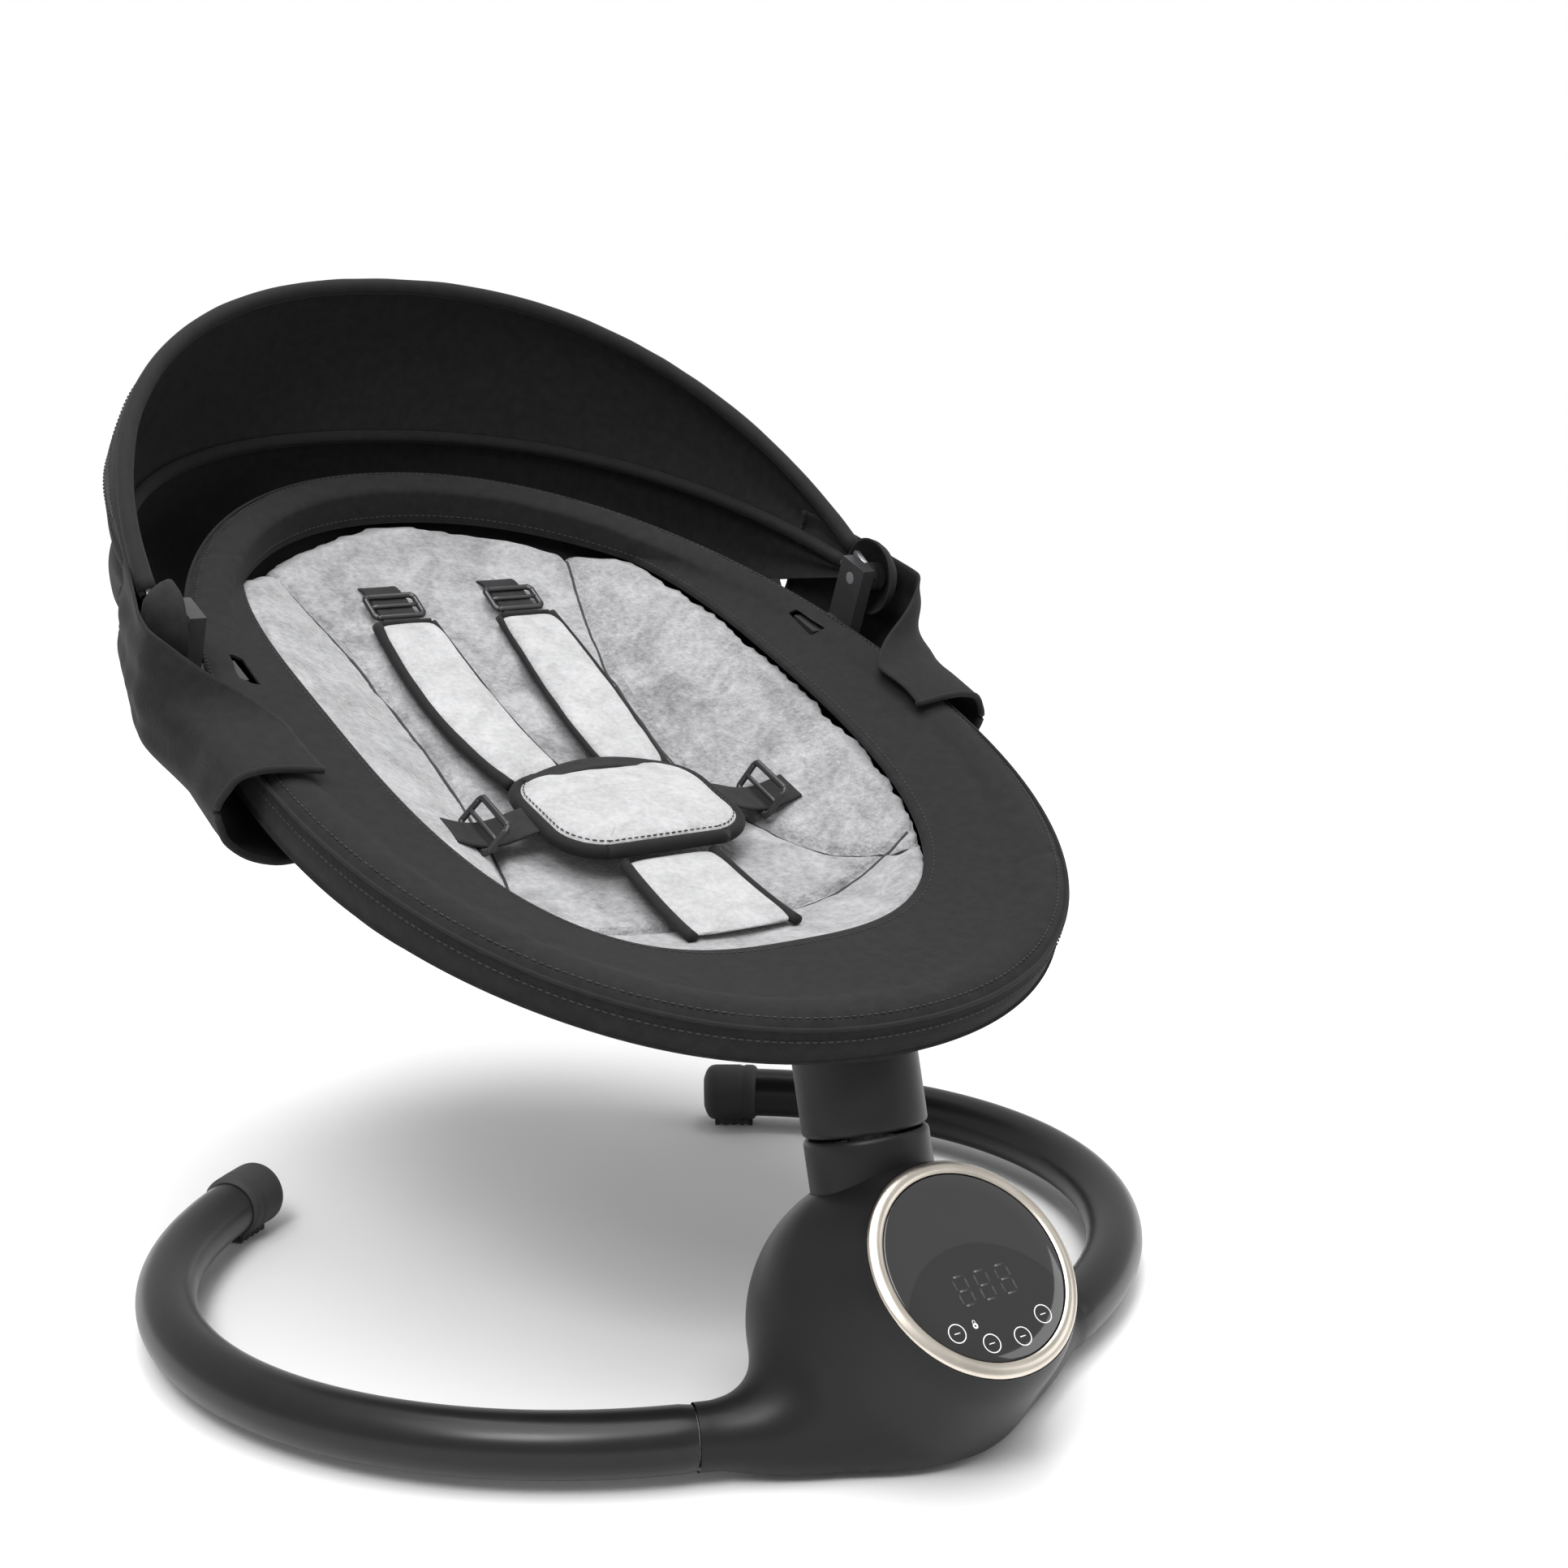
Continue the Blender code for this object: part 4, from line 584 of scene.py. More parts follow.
def make_finishes():
    """Every finish of the swing, by the name it is asked for."""
    colours = bpy.context.scene.swing_colours
    sizes = bpy.context.scene.swing_sizes
    thread = {"Size": sizes.thread, "Slub": 0.3}
    plastic, cloth, plush, pad = colours.plastic, colours.fabric, colours.plush, colours.pad
    grain = {"Fine": 1500.0, "Coarse": 22.0}
    coarse_grain = {"Fine": 900.0, "Coarse": 30.0}
    print_grain = {"Fine": 3000.0, "Coarse": 90.0}
    made = {
        "housing_plastic": finish("housing_plastic", scaled(plastic, 0.85), scaled(plastic, 1.15),
                                  (0.34, 0.46), "grain", 0.00006, 0.35, grain, Specular_IOR_Level=0.24),
        "black_paint": finish("black_paint", scaled(colours.paint, 0.85), scaled(colours.paint, 1.15),
                              (0.26, 0.38), "grain", 0.00005, 0.25, {"Fine": 700.0, "Coarse": 30.0},
                              Coat_Weight=0.10, Coat_Roughness=0.22, Specular_IOR_Level=0.28),
        "rubber": finish("rubber", (0.012, 0.012, 0.013), (0.026, 0.026, 0.027), (0.62, 0.8), "grain", 0.0001,
                         0.5, coarse_grain, wear=(0.5, 0.2)),
        "satin_nickel": finish("satin_nickel", scaled(colours.nickel, 0.92), scaled(colours.nickel, 1.05),
                               (0.24, 0.36), "grain", 0.00003, 0.3, {"Fine": 2200.0, "Coarse": 60.0},
                               wear=(0.15, 0.0), Metallic=1.0),
        "bright_steel": finish("bright_steel", (0.50, 0.50, 0.52), (0.62, 0.62, 0.64), (0.22, 0.36), "grain",
                               0.00004, 0.3, {"Fine": 1600.0, "Coarse": 45.0}, Metallic=1.0),
        "gear_plastic": finish("gear_plastic", (0.66, 0.65, 0.60), (0.78, 0.77, 0.73), (0.4, 0.55), "grain",
                               0.00005, 0.3, coarse_grain),
        "board_green": finish("board_green", (0.010, 0.075, 0.028), (0.022, 0.12, 0.046), (0.35, 0.5),
                              "weave", 0.00005, 0.4, {"Size": 0.0006, "Slub": 0.2}, Coat_Weight=0.3),
        "buckle_plastic": finish("buckle_plastic", (0.016, 0.016, 0.017), (0.028, 0.028, 0.030), (0.28, 0.40),
                                 "grain", 0.00005, 0.3, grain),
        "panel_glass": glass_finish(colours),
        "print_white": finish("print_white", (0.62, 0.62, 0.63), (0.74, 0.74, 0.75), (0.4, 0.5), "grain",
                              0.00001, 0.1, print_grain, wear=UNWORN),
        "print_grey": finish("print_grey", (0.028, 0.028, 0.030), (0.040, 0.040, 0.043), (0.3, 0.4), "grain",
                             0.00001, 0.1, print_grain, wear=UNWORN),
        "black_fabric": finish("black_fabric", scaled(cloth, 0.78), scaled(cloth, 1.22), (0.82, 0.95),
                               "weave", 0.00025, 0.55, thread, wear=(0.1, 0.015), Sheen_Weight=0.04,
                               Sheen_Roughness=0.4, Specular_IOR_Level=0.22),
        "fabric_hem": finish("fabric_hem", scaled(cloth, 0.7), scaled(cloth, 1.05), (0.78, 0.92), "weave",
                             0.00025, 0.5, {"Size": sizes.thread * 0.8, "Slub": 0.15}, wear=(0.15, 0.01),
                             Sheen_Weight=0.05, Sheen_Roughness=0.4, Specular_IOR_Level=0.25),
        "stitching": finish("stitching", (0.014, 0.014, 0.015), (0.026, 0.026, 0.028), (0.6, 0.75), "weave",
                            0.0001, 0.5, {"Size": 0.0003, "Slub": 0.1}, wear=(0.1, 0.0)),
        "grey_plush": finish("grey_plush", scaled(plush, 0.55), scaled(plush, 1.60), (0.80, 0.96), "pile",
                             0.0018, 0.65, {"Clump": 240.0, "Patch": 34.0}, wear=(0.0, 0.03),
                             Sheen_Weight=0.45, Sheen_Roughness=0.5),
        "pad_plush": finish("pad_plush", scaled(pad, 0.74), scaled(pad, 1.22), (0.80, 0.95), "pile", 0.0012,
                            0.55, {"Clump": 300.0, "Patch": 48.0}, wear=(0.0, 0.02), Sheen_Weight=0.4,
                            Sheen_Roughness=0.5),
        "webbing": finish("webbing", scaled(colours.webbing, 0.75), scaled(colours.webbing, 1.3), (0.7, 0.88),
                          "weave", 0.0003, 0.7, {"Size": 0.0013, "Slub": 0.12}, wear=(0.2, 0.01),
                          Sheen_Weight=0.03, Specular_IOR_Level=0.25),
        "tag_cloth": finish("tag_cloth", (0.50, 0.50, 0.50), (0.66, 0.66, 0.65), (0.7, 0.85), "weave", 0.0001,
                            0.4, {"Size": 0.0005, "Slub": 0.2}, wear=(0.1, 0.05)),
    }
    FINISHES.clear()
    FINISHES.update(made)


FINISHES = {}


def finished(name):
    """A finish by its name."""
    if not FINISHES:
        make_finishes()
    return FINISHES[name]


# ---- base, housing, panel and stem ---------------------------------------------------------------
SEAM_TURN = -math.degrees(math.acos(ARM_HALF_SPAN / BASE_HALF_WIDTH))
CAP_TIP = 0.005
CAP_EXTRA_RADIUS = 0.0026
CAP_MOUTH = (0.0022, 0.0007, 0.0001)
CAP_GROOVE = 0.0006
CAP_DOME = (0.0001, 0.0004, 0.0011, 0.0024, 0.0048, 0.0090)
RIB_COUNT = 5
RIB_PITCH = 0.0056
RIB_WIDTH = 0.003
RIB_HALF_LENGTH = 0.0055
RIB_TOP = 0.0062
RIB_START = -0.013
RIB_PAD_HEIGHT = 0.0012
RIB_PAD_END = 0.0125


def base_curve(first, last, side, count):
    """Points on the middle line of a leg, from one angle to another."""
    turns = np.radians(np.linspace(first, last, count))
    points = np.full((count, 3), TUBE_Z)
    points[:, 0] = side * BASE_HALF_WIDTH * np.cos(turns)
    points[:, 1] = BASE_CENTRE_Y + BASE_HALF_DEPTH * np.sin(turns)
    return points


def build_base():
    """Legs bent on an oval, and their rubber end caps with ribs underneath."""
    step = np.linalg.norm(np.diff(base_curve(LEG_END_ANGLE - 0.5, LEG_END_ANGLE + 0.5, 1, 2), axis=0))
    cap_span, tip_span = CAP_LENGTH / step, CAP_TIP / step
    for side, word in ((-1, "left"), (1, "right")):
        path = base_curve(SEAM_TURN + 0.12, LEG_END_ANGLE - 0.2, side, 90)
        radii = np.full(90, TUBE_RADIUS)
        radii[[0, -1]] -= 0.0008
        leg = tube(f"{word}_leg", path, radii, sides=48)
        done(sharpen(leg, 50), "base", finished("black_paint"), "black_paint", f"{word}_leg_tube")
        path = base_curve(LEG_END_ANGLE - cap_span, LEG_END_ANGLE + tip_span, side, 26)
        radii = np.full(26, TUBE_RADIUS + CAP_EXTRA_RADIUS)
        radii[:3] -= CAP_MOUTH
        radii[6:8] -= CAP_GROOVE
        radii[-6:] -= CAP_DOME
        cap = tube(f"{word}_cap_skin", path, radii, sides=48)
        middle, along = path[11], directions(path)[11]
        heading = math.atan2(along[1], along[0])
        place = Matrix.Translation((middle[0], middle[1], 0)) @ Matrix.Rotation(heading, 4, "Z")
        pad = block("rib", (RIB_START, -RIB_HALF_LENGTH, RIB_PAD_HEIGHT),
                    (RIB_PAD_END, RIB_HALF_LENGTH, RIB_TOP), place)
        ribs = []
        for i in range(RIB_COUNT):
            first = RIB_START + RIB_PITCH * i
            ribs.append(block("rib", (first, -RIB_HALF_LENGTH, 0),
                              (first + RIB_WIDTH, RIB_HALF_LENGTH, RIB_TOP), place))
        cap = merged(f"{word}_cap", [cap, pad] + ribs)
        done(sharpen(cap), "base", finished("rubber"), "rubber", f"{word}_end_cap")


def round_cone(points, first, last, first_radius, last_radius):
    """Distance outside a skin drawn round two balls."""
    span = last - first
    length = span @ span
    taper = first_radius - last_radius
    slope = length - taper * taper
    from_first = points - first
    y = from_first @ span
    z = y - length
    x2 = np.sum((from_first * length - np.outer(y, span)) ** 2, axis=1)
    y2, z2 = y * y * length, z * z * length
    k = np.sign(taper) * taper * taper * x2
    side = (np.sqrt(x2 * slope / length) + y * taper) / length - first_radius
    at_first = np.sqrt(x2 + y2) / length - first_radius
    at_last = np.sqrt(x2 + z2) / length - last_radius
    return np.where(np.sign(z) * slope * z2 > k, at_last,
                    np.where(np.sign(y) * slope * y2 < k, at_first, side))


ARM_CLEARANCE = 0.0002
ARM_SWELL = 0.010
HOUSING_FILLET = 0.024
HOUSING_VOXEL = 0.0026
HOUSING_WALL = 0.0025
HOUSING_FLOOR_TOP = 0.0085
SOCKET_RADIUS = 0.0058
SOCKET_PLACE = (0, BALL_CENTRE[1] + 0.070, 0.030)
FIT = 0.0003


def arm_line(count, half_span):
    """Points on the middle line of the housing's arms."""
    xs = np.linspace(-half_span, half_span, count)
    ys = BASE_CENTRE_Y - BASE_HALF_DEPTH * np.sqrt(1 - (xs / BASE_HALF_WIDTH) ** 2)
    return np.stack([xs, ys, np.full(count, TUBE_Z)], axis=1)


def arm_radius(xs):
    """The arms swell towards the middle of the housing."""
    return TUBE_RADIUS + ARM_CLEARANCE + ARM_SWELL * ease(ARM_HALF_SPAN - np.abs(xs), 0.006, 0.055)


NOSE_CENTRE = np.array(PANEL @ Vector((0, 0, -0.030)))


def housing_skin(points):
    """Distance outside the housing: the ball and nose, run into the arms by a soft fillet."""
    hull = round_cone(points, BALL_CENTRE, NOSE_CENTRE, BALL_RADIUS, NOSE_RADIUS)
    line = arm_line(121, ARM_HALF_SPAN + 0.02)
    arms = np.full(len(points), 9.0)
    for spot, size in zip(line, arm_radius(line[:, 0])):
        arms = np.minimum(arms, np.linalg.norm(points - spot, axis=1) - size)
    share = np.clip(0.5 + 0.5 * (arms - hull) / HOUSING_FILLET, 0, 1)
    return arms + (hull - arms) * share - HOUSING_FILLET * share * (1 - share)


def build_housing():
    """A ball and a nose melted into two arms, hollow, with its openings cut."""
    reach = Vector(NOSE_CENTRE - BALL_CENTRE)
    place = Matrix.Translation(BALL_CENTRE) @ reach.to_track_quat("Z", "X").to_matrix().to_4x4()
    ball = [(BALL_RADIUS * math.cos(a), BALL_RADIUS * math.sin(a)) for a in np.linspace(-1.5, 0.2, 24)]
    nose = [(NOSE_RADIUS * math.cos(a), reach.length + NOSE_RADIUS * math.sin(a))
            for a in np.linspace(0.2, 1.5, 20)]
    middle = arm_line(80, ARM_HALF_SPAN + 0.015)
    arms = tube("housing_arms", middle, arm_radius(middle[:, 0]), sides=40)
    item = merged("housing", [turned("housing_ball", ball + nose, place, 72), arms])
    remesh = item.modifiers.new("even", "REMESH")
    remesh.mode = "VOXEL"
    remesh.voxel_size = HOUSING_VOXEL
    settled(item)
    points = points_of(item)
    step = 0.0004
    for _ in range(4):
        skin = housing_skin(points)
        slope = np.stack([housing_skin(points + step * axis) - skin for axis in np.eye(3)], axis=1) / step
        points = points - slope * (skin / np.maximum((slope**2).sum(1), 0.2))[:, None]
    move_points(item, points)
    inner = item.copy()
    inner.data = item.data.copy()
    bpy.context.scene.collection.objects.link(inner)
    move_points(inner, points - normals_of(item) * HOUSING_WALL)
    carved(item, [block("below", (-0.2, -0.2, -0.1), (0.2, 0.2, FOOT_HEIGHT))])
    carved(inner, [block("below", (-0.2, -0.2, -0.1), (0.2, 0.2, HOUSING_FLOOR_TOP)),
                   block("floor", (-0.068, -0.2, -0.1), (0.068, 0.2, 0.011))])
    inner.data.flip_normals()
    item = merged("housing", [item, inner])
    tools = []
    recess = [(PANEL_RADIUS + FIT, -0.0063), (PANEL_RADIUS + FIT, -0.0012), (PANEL_RADIUS + 0.0012, 0.0002),
              (PANEL_RADIUS + 0.012, 0.06)]
    tools.append(turned("ring_seat", recess, PANEL, 144))
    tools.append(turned("panel_hole", [(GLASS_RADIUS, -0.03), (GLASS_RADIUS, 0.01)], PANEL, 96))
    tools.append(turned("stem_hole", [(STEM_RADIUS + FIT, -0.05), (STEM_RADIUS + FIT, 0.03)], STEM, 96))
    turns = np.linspace(0, 2 * math.pi, 72, endpoint=False)
    for name, across, along, top in (("service_hole", 0.054, 0.038, 0.016),
                                     ("cover_rebate", 0.0603, 0.0443, 0.0088)):
        rings = [np.stack([across * np.cos(turns), BALL_CENTRE[1] + along * np.sin(turns), np.full(72, z)],
                          axis=1) for z in (-0.01, top)]
        tools.append(lofted(name, rings))
    for side in (-1, 1):
        end = base_curve(SEAM_TURN, SEAM_TURN + 1, side, 2)
        heading = math.atan2(end[1, 1] - end[0, 1], end[1, 0] - end[0, 0])
        place = Matrix.Translation(end[0]) @ Matrix.Rotation(heading, 4, "Z")
        tools.append(block(f"arm_end_{side + 1}", (0, -0.03, -0.04), (0.06, 0.03, 0.04), place))
    socket = Matrix.Translation(SOCKET_PLACE) @ Matrix.Rotation(math.radians(-90), 4, "X")
    tools.append(turned("socket_hole", [(SOCKET_RADIUS, -0.02), (SOCKET_RADIUS, 0.02)], socket, 40))
    carved(item, tools, 40)
    done(item, "base", finished("housing_plastic"), "housing_plastic", "housing_shell")


PRINT_HEIGHT = -0.00075
PRINT_THICKNESS = 0.00022
MARK_TURNS = (-133.5, -106.8, -80.1, -53.4)
MARK_REACH = 0.0388
MARK_RADIUS = 0.0045
MARK_LINE = 0.00055
DASH_HALF = 0.0016
DIGITS_PLACE = -0.010
DIGIT_PLACES = (-0.0125, 0.0, 0.0125)
BAR_HALF = 0.0026
BAR_WIDTH = 0.0011
BAR_SHIFT = 0.0035
BAR_RISE = 0.0072


def panel_stroke(name, points, width, closed=False):
    """A printed line on the panel's glass."""
    path = placed([(x, y, PRINT_HEIGHT) for x, y in points], PANEL)
    return section_piece(name, path, flat_section(width, PRINT_THICKNESS), PANEL_UP, closed)


def section_piece(name, path, section, up, closed=False):
    """A piece of one section along a path."""
    return lofted(name, section_rings(np.asarray(path, float), section, up, closed), loop=closed)


def circle_points(x, y, radius, count=40):
    """Points on a small circle of the panel."""
    return [(x + radius * math.cos(a), y + radius * math.sin(a))
            for a in np.linspace(0, 2 * math.pi, count, endpoint=False)]


def build_panel():
    """Metal trim, black glass, touch marks and a display."""
    inner, outer = PANEL_RADIUS - 0.0075, PANEL_RADIUS
    crown = [(inner + 0.0006, -0.0058), (inner + 0.0002, -0.0034), (inner, -0.0018),
             (inner + 0.0003, -0.0008)]
    crown += [(inner + 0.0010 + 0.0055 * t, -0.0003 - 0.0010 * t * t + 0.0004 * math.sin(math.pi * t))
              for t in np.linspace(0, 1, 9)]
    crown += [(outer - 0.0004, -0.0019), (outer, -0.0028), (outer, -0.0060)]
    ring = turned("panel_trim", crown, PANEL, 160, bored=True)
    done(sharpen(ring, 28), "base", finished("satin_nickel"), "satin_nickel", "panel_ring")
    face = [(GLASS_RADIUS, -0.0030), (GLASS_RADIUS, -0.0014), (GLASS_RADIUS - 0.0003, -0.0010),
            (GLASS_RADIUS - 0.0009, -0.0008)]
    face += [(GLASS_RADIUS * t, -0.0008) for t in (0.8, 0.6, 0.4, 0.2, 0.02)]
    glass = turned("panel_face", face, PANEL, 144)
    done(sharpen(glass, 20), "base", finished("panel_glass"), "panel_glass", "panel_glass")
    marks = []
    for turn in MARK_TURNS:
        x, y = MARK_REACH * math.cos(math.radians(turn)), MARK_REACH * math.sin(math.radians(turn))
        marks.append(panel_stroke("touch_mark", circle_points(x, y, MARK_RADIUS), MARK_LINE, closed=True))
        marks.append(panel_stroke("touch_dash", [(x - DASH_HALF, y), (x + DASH_HALF, y)], 0.0005))
    marks.append(panel_stroke("lock_body", circle_points(-0.0154, -0.0272, 0.0010, 12), 0.0009, closed=True))
    marks.append(panel_stroke("lock_bow",
                              [(-0.0162, -0.0260), (-0.0160, -0.0248), (-0.0154, -0.0243), (-0.0148, -0.0248),
                               (-0.0146, -0.0260)], 0.0004))
    done(merged("touch_marks", marks), "base", finished("print_white"), "panel_glass")
    bars = []
    for x in DIGIT_PLACES:
        for dx, dy in ((-BAR_SHIFT, BAR_SHIFT), (BAR_SHIFT, BAR_SHIFT), (-BAR_SHIFT, -BAR_SHIFT),
                       (BAR_SHIFT, -BAR_SHIFT)):
            ends = [(x + dx, DIGITS_PLACE + dy - BAR_HALF), (x + dx, DIGITS_PLACE + dy + BAR_HALF)]
            bars.append(panel_stroke("digit_bar", ends, BAR_WIDTH))
        for dy in (BAR_RISE, 0, -BAR_RISE):
            ends = [(x - BAR_HALF, DIGITS_PLACE + dy), (x + BAR_HALF, DIGITS_PLACE + dy)]
            bars.append(panel_stroke("digit_bar", ends, BAR_WIDTH))
    done(merged("display_bars", bars), "base", finished("print_grey"), "panel_glass")


COLLAR_LOW = -0.049
FLANGE_RADIUS = STEM_RADIUS + 0.0035
STEM_BORE = 0.0288
SHAFT_BORE = 0.0104
SEAT_PLATE_HEIGHT = -0.0233


def build_stem():
    """The fixed collar and the sleeve that swings with the seat."""
    low, flange = COLLAR_LOW, FLANGE_RADIUS
    collar = [(0.014, low - 0.002), (flange - 0.0006, low - 0.002), (flange, low - 0.0014),
              (flange, low + 0.0004), (flange - 0.0006, low + 0.001), (STEM_RADIUS, low + 0.001)]
    collar += [(STEM_RADIUS, z) for z in (-0.040, -0.030, -0.020, -0.010, -0.0032)]
    collar += [(STEM_RADIUS - 0.0003, -0.0018), (STEM_RADIUS - 0.0012, -0.0009), (STEM_BORE, -0.0008),
               (STEM_BORE, -0.030), (STEM_BORE, -0.0460), (0.014, -0.0465)]
    piece = turned("stem_lower", collar, STEM, 112, bored=True)
    done(sharpen(piece, 35), "base", finished("housing_plastic"), "housing_plastic", "stem_collar")
    sleeve = [(SHAFT_BORE, 0.020), (0.0270, 0.0185), (STEM_BORE, 0.0150), (STEM_BORE, 0.0008),
              (STEM_RADIUS - 0.0012, 0.0009), (STEM_RADIUS - 0.0003, 0.0018), (STEM_RADIUS, 0.0032)]
    sleeve += [(STEM_RADIUS, z) for z in np.linspace(0.008, 0.100, 14)]
    sleeve += [(STEM_BORE, 0.100), (STEM_BORE, 0.026), (SHAFT_BORE, 0.026)]
    piece = turned("stem_upper", sleeve, STEM, 112, bored=True)
    carved(piece, [block("above_plate", (-0.1, -0.5, SEAT_PLATE_HEIGHT), (0.1, 0.0, 0.2), SEAT)], 35)
    done(piece, "seat", finished("housing_plastic"), "housing_plastic", "stem_sleeve")


# ---- seat ----------------------------------------------------------------------------------------
PLUSH_HALF_WIDTH = 0.1527
PLUSH_HALF_LENGTH = 0.2490
PLUSH_SHIFT = 0.0357
PLUSH_ROUNDNESS = 2.88
PLUSH_RING_GAP = 0.0285
PLUSH_EDGE_HEIGHT = -0.010
PLUSH_EDGE_DROP = 0.010
PLUSH_DEPTH = 0.058
BAND_DEPTH = 0.020
BELLY_DEPTH = 0.135
BELLY_RISE = 0.035
STITCH_LENGTH = 0.0026
STITCH_RADIUS = 0.00038


def oval(turns, half_width, half_length, roundness, taper, shift=0.0):
    """A rounded outline that narrows towards the head when taper is below 0."""
    angles = np.radians(turns)
    across, along = power(np.cos(angles), 2 / roundness), power(np.sin(angles), 2 / roundness)
    return half_width * across * (1 + taper * along), shift + half_length * along


def seat_oval(turns, inset, height):
    """The seat's outline, drawn in by inset."""
    x, s = oval(turns, SEAT_HALF_WIDTH - inset, SEAT_HALF_LENGTH - inset, SEAT_ROUNDNESS, SEAT_TAPER)
    return np.stack([x, s, np.broadcast_to(height, x.shape)], axis=-1)


def plush_edge(turns, inset=0.0):
    """The outline of the plush lining, kept clear of the seat ring."""
    x, s = oval(turns, PLUSH_HALF_WIDTH - inset, PLUSH_HALF_LENGTH - inset, PLUSH_ROUNDNESS, 0, PLUSH_SHIFT)
    length = SEAT_HALF_LENGTH - PLUSH_RING_GAP - inset
    width = (SEAT_HALF_WIDTH - PLUSH_RING_GAP - inset) * (1 + SEAT_TAPER * s / length)
    outside = ((np.abs(x) / width) ** SEAT_ROUNDNESS
               + (np.abs(s) / length) ** SEAT_ROUNDNESS) ** (1 / SEAT_ROUNDNESS)
    x, s = x / np.maximum(outside, 1), s / np.maximum(outside, 1)
    along = (s - PLUSH_SHIFT) / PLUSH_HALF_LENGTH
    return np.stack([x, s, PLUSH_EDGE_HEIGHT - PLUSH_EDGE_DROP * along * along], axis=-1)


def plush_height(x, s):
    """Height of the plush lining's hollow."""
    across, along = np.abs(x) / PLUSH_HALF_WIDTH, np.abs(s - PLUSH_SHIFT) / PLUSH_HALF_LENGTH
    reach = np.minimum((across**PLUSH_ROUNDNESS + along**PLUSH_ROUNDNESS) ** (1 / PLUSH_ROUNDNESS), 1)
    depth = PLUSH_DEPTH * (1 - 0.5 * ease(s, -0.02, 0.24))
    edge = PLUSH_EDGE_HEIGHT - PLUSH_EDGE_DROP * np.minimum(along, 1) ** 2
    return edge - depth * np.sqrt(np.maximum(1 - reach**2.2, 0))


def belly_rows(turns, shares):
    """Rings of the hanging belly; share 1 is the rim."""
    edge = seat_oval(turns, 0, 0.0)
    band = BAND_DEPTH + 0.004 * ease(edge[:, 1], -0.26, -0.10)
    rows = []
    for share in shares:
        spot = edge * share
        depth = BELLY_DEPTH - BELLY_RISE * ease(spot[:, 1], -0.12, 0.26)
        shallow = 1 - 0.20 * ease(-spot[:, 1], 0.10, 0.27)
        spot[:, 2] = -band - (depth * shallow - band) * (1 - share * share)
        rows.append(spot)
    return rows


def stitch_line(name, path, up, closed=False):
    """A row of sewn stitches along a path, a little proud of the cloth."""
    pitch = bpy.context.scene.swing_sizes.stitch
    length, radius = STITCH_LENGTH, STITCH_RADIUS
    path = np.asarray(path, float)
    if closed:
        path = np.concatenate([path, path[:1]])
    reach = np.concatenate([[0], np.cumsum(np.linalg.norm(np.diff(path, axis=0), axis=1))])
    count = max(2, int(reach[-1] / pitch))
    at = (np.arange(count) + 0.5) * reach[-1] / count
    spots = np.stack([np.interp(at, reach, path[:, k]) for k in range(3)], axis=1)
    ahead = np.stack([np.interp(np.minimum(at + 0.001, reach[-1]), reach, path[:, k]) for k in range(3)],
                     axis=1)
    along = ahead - spots
    along /= np.maximum(np.linalg.norm(along, axis=1, keepdims=True), 1e-9)
    up = np.broadcast_to(np.asarray(up, float), spots.shape)
    side = np.cross(along, up)
    side /= np.maximum(np.linalg.norm(side, axis=1, keepdims=True), 1e-9)
    over = np.cross(side, along)
    turns = np.linspace(0, 2 * math.pi, 6, endpoint=False)
    rows = []
    for shift, size in ((-0.5, 0.45), (-0.3, 1.0), (0.3, 1.0), (0.5, 0.45)):
        for turn in turns:
            rows.append(spots + along * length * shift + side * radius * size * math.cos(turn)
                        + over * radius * size * math.sin(turn))
    points = np.stack(rows, axis=1).reshape(-1, 3)
    one = grid_faces(4, 6, around=True) + [tuple(range(6)), tuple(range(18, 24))]
    faces = [tuple(24 * i + k for k in face) for i in range(count) for face in one]
    mesh = bpy.data.meshes.new(name)
    mesh.from_pydata(points.tolist(), [], faces)
    mesh.shade_smooth()
    item = bpy.data.objects.new(name, mesh)
    bpy.context.scene.collection.objects.link(item)
    return item


def stem_opening_path(skin, radius, count=96):
    """Where a line round the stem meets the belly from below."""
    tree = BVHTree.FromObject(skin, bpy.context.evaluated_depsgraph_get())
    along = STEM.to_3x3().col[2]
    points = []
    for turn in np.linspace(0, 2 * math.pi, count, endpoint=False):
        start = STEM @ Vector((radius * math.cos(turn), radius * math.sin(turn), -0.04))
        hit = tree.ray_cast(start, along)[0]
        if hit is None:
            raise RuntimeError("the stem's opening misses the cover")
        points.append(hit)
    return np.array(points)


COVER_THICKNESS = 0.0014
BAND_SEAMS = (-0.205, 0.205)
STEM_OPENING = STEM_RADIUS + 0.0036
SHOULDER_INSET = 0.0265
ROLLED_EDGE = ((0.0255, -0.0007), (0.0225, 0.0009), (0.0195, 0.0018), (0.0160, 0.0027), (0.0125, 0.0031),
               (0.0095, 0.0030), (0.0065, 0.0022), (0.0042, 0.0010), (0.0026, -0.0005), (0.0016, -0.0008),
               (0.0008, -0.0004), (0.0003, -0.0010), (0.0006, -0.0018), (0.0014, -0.0022))
CLIP_PLACE = 0.2008
CLIP_HALF_LENGTH = 0.0135
TAG_THICKNESS = 0.0005


